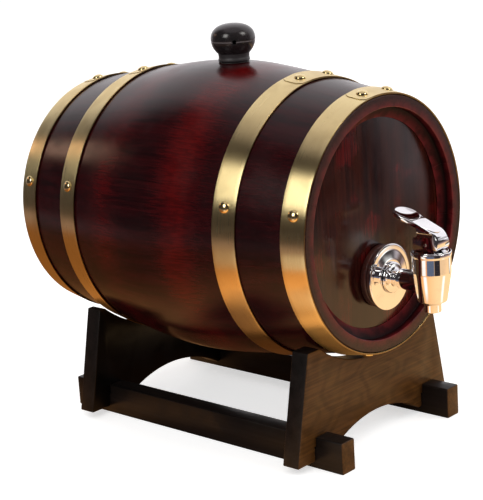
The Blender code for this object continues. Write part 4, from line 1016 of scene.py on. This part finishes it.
for side, label in ((-1, "left"), (1, "right")):
    notch_z = RAIL_HEIGHT - RAIL_NOTCH
    outline = [(RAIL_FRONT, 0), (RAIL_FRONT, RAIL_HEIGHT)]
    for _, front_y in BOARD_FRONTS:
        start = front_y - CLEARANCE / 2
        end = front_y + BOARD_THICKNESS + CLEARANCE / 2
        outline += [(start, RAIL_HEIGHT), (start, notch_z), (end, notch_z), (end, RAIL_HEIGHT)]
    outline += [(RAIL_REAR, RAIL_HEIGHT), (RAIL_REAR, 0)]
    outline = [(BARREL_Y + y, z) for y, z in outline]
    at_rail = Matrix.Translation((side * (RAIL_OUTER_X - RAIL_THICKNESS / 2), 0, 0)) @ SIDE_VIEW
    add_piece(f"{label}_rail_bar", eased(plate(outline, RAIL_THICKNESS, at_rail)), rail_paint,
              "stand", [f"{label}_rail"], 30.0)

# ---- Studio ----------------------------------------------------------------------------
# A pale floor in soft daylight, lit by three large lamps. A shell, a ground and glowing cards,
# which only polished surfaces see, give the lacquer, brass and chrome their light and dark bands.
scene = bpy.context.scene
scene.view_settings.view_transform = "Standard"


def seen_directly(tree):
    """1 for rays from the camera and for mirrored and transmitted ones, else 0."""
    path = node(tree, "LightPath").outputs
    either = calc(tree, "MAXIMUM", path["Is Camera Ray"], path["Is Glossy Ray"])
    return calc(tree, "MAXIMUM", either, path["Is Transmission Ray"])


def flat_mesh(corners):
    mesh = bpy.data.meshes.new("flat")
    mesh.from_pydata(corners, [], [tuple(range(len(corners)))])
    return mesh


def stage_piece(name, mesh, look, only_mirrored=False):
    item = bpy.data.objects.new(name, mesh)
    scene.collection.objects.link(item)
    mesh.materials.append(look)
    if only_mirrored:
        item.visible_camera = False
        item.visible_diffuse = False
        item.visible_transmission = False
        item.visible_shadow = False
    return item


world = bpy.data.worlds.new("daylight")
scene.world = world
world.use_nodes = True
tree = world.node_tree
sky = tree.nodes["Background"]
sky.inputs["Color"].default_value = (1.0, 1.0, 1.0, 1.0)
tree.links.new(span(tree, seen_directly(tree), 0.50, 1.0), sky.inputs["Strength"])

floor_look, tree, shader = new_look("pale_floor", Roughness=0.8)
shader.inputs["Base Color"].default_value = (0.88, 0.88, 0.875, 1.0)
shader.inputs["Specular IOR Level"].default_value = 0.1
glow = node(tree, "Emission", {"Color": (1.0, 1.0, 1.0, 1.0),
                               "Strength": calc(tree, "MULTIPLY", seen_directly(tree), 0.58)})
both = node(tree, "AddShader", {0: shader.outputs[0], 1: glow.outputs[0]})
tree.links.new(both.outputs[0], tree.nodes["Material Output"].inputs["Surface"])
FLOOR_HALF = 8.0
stage_piece("floor", flat_mesh([(-FLOOR_HALF, -FLOOR_HALF, 0), (FLOOR_HALF, -FLOOR_HALF, 0),
                                (FLOOR_HALF, FLOOR_HALF, 0), (-FLOOR_HALF, FLOOR_HALF, 0)]),
            floor_look)


def towards(azimuth, elevation):
    """Direction from the object, azimuth from the front towards +X, in degrees."""
    a, e = math.radians(azimuth), math.radians(elevation)
    return Vector((math.sin(a) * math.cos(e), -math.cos(a) * math.cos(e), math.sin(e)))


def glow_look(name):
    """A material that only gives off light. Returns material, tree and its emission node."""
    look = bpy.data.materials.new(name)
    look.use_nodes = True
    look.node_tree.nodes.remove(look.node_tree.nodes["Principled BSDF"])
    glow = node(look.node_tree, "Emission")
    look.node_tree.links.new(glow.outputs[0],
                             look.node_tree.nodes["Material Output"].inputs["Surface"])
    return look, look.node_tree, glow


def bright_side(tree, place):
    """1 on the bright side, from the front right round to the rear, else 0."""
    middle = math.radians(121.0)
    turned_place = node(tree, "VectorRotate", {0: place, "Angle": -middle},
                        rotation_type="Z_AXIS").outputs[0]
    split = node(tree, "SeparateXYZ", {0: turned_place}).outputs
    minus_y = calc(tree, "MULTIPLY", split[1], -1.0)
    turn = calc(tree, "ARCTAN2", split[0], minus_y)
    rising = ramp(tree, turn, math.radians(-71.0), math.radians(-66.0))
    falling = ramp(tree, turn, math.radians(42.0), math.radians(74.0), 1.0, 0.0)
    return calc(tree, "MULTIPLY", rising, falling)


ROOM_DARK = (0.040, 0.034, 0.037)
ROOM_BRIGHT = (1.060, 1.020, 1.050)
CEILING = (0.600, 0.550, 0.575)
room_look, tree, glow = glow_look("room_seen_in_polish")
place = node(tree, "VectorMath", {0: node(tree, "TexCoord").outputs["Object"]},
             operation="NORMALIZE").outputs[0]
height = node(tree, "SeparateXYZ", {0: place}).outputs[2]
tone = mix(tree, bright_side(tree, place), ROOM_DARK, ROOM_BRIGHT)
tone = mix(tree, ramp(tree, height, 0.84, 0.93), tone, CEILING)
tree.links.new(tone, glow.inputs["Color"])
ROOM_RADIUS = 3.0
dome = lathe([(ROOM_RADIUS * math.cos(math.pi / 2 * i / 16), ROOM_RADIUS
               * math.sin(math.pi / 2 * i / 16)) for i in range(17)], 48)
stage_piece("room_shell", dome, room_look, only_mirrored=True)

TABLE_LEFT = (1.10, 0.47, 0.150)
TABLE_RIGHT = (1.25, 0.80, 0.40)
TABLE_FAR = (0.32, 0.22, 0.21)
TABLE_BACK = (0.25, 0.100, 0.030)
TABLE_SHADE = (0.100, 0.038, 0.014)
FAR_BRIGHT = (0.60, 0.54, 0.56)
FAR_DARK = (0.055, 0.045, 0.045)
ground_look, tree, glow = glow_look("ground_seen_in_polish")
place = node(tree, "TexCoord").outputs["Object"]
reach = node(tree, "VectorMath", {0: place}, operation="LENGTH").outputs[1]


def along_ground(tree, place, azimuth):
    """Distance along the ground in one direction, the azimuth as for the lamps."""
    a = math.radians(azimuth)
    return node(tree, "VectorMath", {0: place, 1: (math.sin(a), -math.cos(a), 0.0)},
                operation="DOT_PRODUCT").outputs[1]


tone = mix(tree, ramp(tree, along_ground(tree, place, 45.0), -0.20, 0.20), TABLE_LEFT, TABLE_RIGHT)
tone = mix(tree, ramp(tree, along_ground(tree, place, -150.0), 0.04, 0.22), tone, TABLE_BACK)
far_tone = mix(tree, bright_side(tree, place), FAR_DARK, FAR_BRIGHT)
tone = mix(tree, ramp(tree, reach, 0.42, 0.56), tone, TABLE_FAR)
tone = mix(tree, ramp(tree, reach, 0.62, 0.95), tone, far_tone)
under = node(tree, "VectorMath", {0: place, 1: (1 / 0.080, 1 / 0.125, 0.0)},
             operation="MULTIPLY").outputs[0]
under = node(tree, "VectorMath", {0: under}, operation="LENGTH").outputs[1]
tree.links.new(mix(tree, ramp(tree, under, 0.70, 1.15), TABLE_SHADE, tone), glow.inputs["Color"])
stage_piece("warm_ground", lathe([(2.9, 0.0003), (0, 0.0003)], 64), ground_look,
            only_mirrored=True)


BARREL_MIDDLE = Vector((0, 0, 0.12))
TAP_MIDDLE = Vector((0, TAP_Y, TAP_Z + 0.008))
FLANGE_TOP = Vector((0, HEAD_FACE_Y - 0.0080, TAP_Z + 0.0110))


def mirror_card(name, middle, azimuth, elevation, distance, width, height, tone, soft=0.25):
    """A glowing card facing a point, faded at its edges. Width and height are in degrees."""
    look, tree, glow = glow_look(name + "_glow")
    glow.inputs["Color"].default_value = (*tone, 1.0)
    out = towards(azimuth, elevation)
    right = Vector((0, 0, 1)).cross(out).normalized() * distance * math.tan(math.radians(width / 2))
    up = out.cross(right).normalized() * distance * math.tan(math.radians(height / 2))
    centre = middle + out * distance
    card = flat_mesh([centre - right - up, centre + right - up, centre + right + up,
                      centre - right + up])
    layer = card.uv_layers.new(name="across")
    for loop, place in zip(layer.data, ((0, 0), (1, 0), (1, 1), (0, 1))):
        loop.uv = place
    split = node(tree, "SeparateXYZ", {0: node(tree, "UVMap", uv_map="across").outputs[0]}).outputs
    shown = None
    for side in (0, 1):
        rising = ramp(tree, split[side], 0.0, soft)
        falling = ramp(tree, split[side], 1.0 - soft, 1.0, 1.0, 0.0)
        both = calc(tree, "MULTIPLY", rising, falling)
        shown = both if shown is None else calc(tree, "MULTIPLY", shown, both)
    faded = node(tree, "MixShader", {0: shown, 1: node(tree, "BsdfTransparent").outputs[0],
                                     2: glow.outputs[0]})
    tree.links.new(faded.outputs[0], tree.nodes["Material Output"].inputs["Surface"])
    stage_piece(name, card, look, only_mirrored=True)


mirror_card("left_window", BARREL_MIDDLE, -90.0, 31.0, 2.0, 26.0, 34.0, (6.4, 6.3, 6.0))
mirror_card("front_window", BARREL_MIDDLE, 18.0, 40.0, 2.0, 26.0, 26.0, (7.5, 7.3, 7.0))
mirror_card("rear_lamp", BARREL_MIDDLE, -164.5, 21.0, 2.0, 17.0, 12.0, (4.2, 2.60, 1.80), 0.45)
mirror_card("left_sheen", TAP_MIDDLE, -101.0, -14.0, 0.30, 28.0, 14.0, (1.25, 1.15, 1.05))
mirror_card("blue_cloth", TAP_MIDDLE, -62.0, -13.0, 0.30, 46.0, 15.0, (0.12, 0.15, 0.22), 0.12)
mirror_card("dark_cloth", TAP_MIDDLE, -23.0, -13.0, 0.29, 36.0, 15.0, (0.030, 0.026, 0.030), 0.12)
mirror_card("thin_dark", TAP_MIDDLE, 66.0, -14.0, 0.30, 10.0, 15.0, (0.10, 0.06, 0.04))
mirror_card("flange_sheen", FLANGE_TOP, 48.0, -10.0, 0.08, 17.0, 13.0, (1.25, 1.25, 1.20), 0.4)
mirror_card("low_sheen_left", TAP_MIDDLE, -98.0, -33.0, 0.15, 26.0, 24.0, (1.35, 1.28, 1.18), 0.4)
mirror_card("low_sheen_right", TAP_MIDDLE, 22.0, -33.0, 0.15, 24.0, 24.0, (1.45, 1.32, 1.15), 0.4)
mirror_card("low_dark_left", TAP_MIDDLE, -140.0, -30.0, 0.15, 30.0, 30.0, (0.10, 0.045, 0.03), 0.3)

for azimuth, elevation, size, power in ((-70.0, 48.0, 1.6, 13.0), (25.0, 42.0, 1.4, 10.0),
                                        (150.0, 60.0, 1.8, 7.0)):
    lamp = bpy.data.lights.new("soft_lamp", "AREA")
    lamp.size = size
    lamp.energy = power
    item = bpy.data.objects.new("soft_lamp", lamp)
    item.location = BARREL_MIDDLE + towards(azimuth, elevation) * 2.0
    item.rotation_euler = towards(azimuth, elevation).to_track_quat("Z", "Y").to_euler()
    item.visible_glossy = False
    scene.collection.objects.link(item)

CAMERA_PLACE = (-0.6195, -0.5462, 0.3084)
CAMERA_AZIMUTH, CAMERA_ELEVATION, CAMERA_ROLL = (math.radians(v) for v in (-47.68, 14.18, -3.59))
camera = bpy.data.objects.new("camera", bpy.data.cameras.new("camera"))
camera.data.lens = 105.91
camera.data.sensor_width = 36.0
camera.data.clip_start = 0.01
behind = towards(math.degrees(CAMERA_AZIMUTH), math.degrees(CAMERA_ELEVATION))
right = Vector((math.cos(CAMERA_AZIMUTH), math.sin(CAMERA_AZIMUTH), 0))
up = behind.cross(right)
rolled_right = math.cos(CAMERA_ROLL) * right + math.sin(CAMERA_ROLL) * up
rolled_up = -math.sin(CAMERA_ROLL) * right + math.cos(CAMERA_ROLL) * up
turn = Matrix((rolled_right, rolled_up, behind)).transposed().to_4x4()
camera.matrix_world = Matrix.Translation(CAMERA_PLACE) @ turn
scene.collection.objects.link(camera)
scene.camera = camera
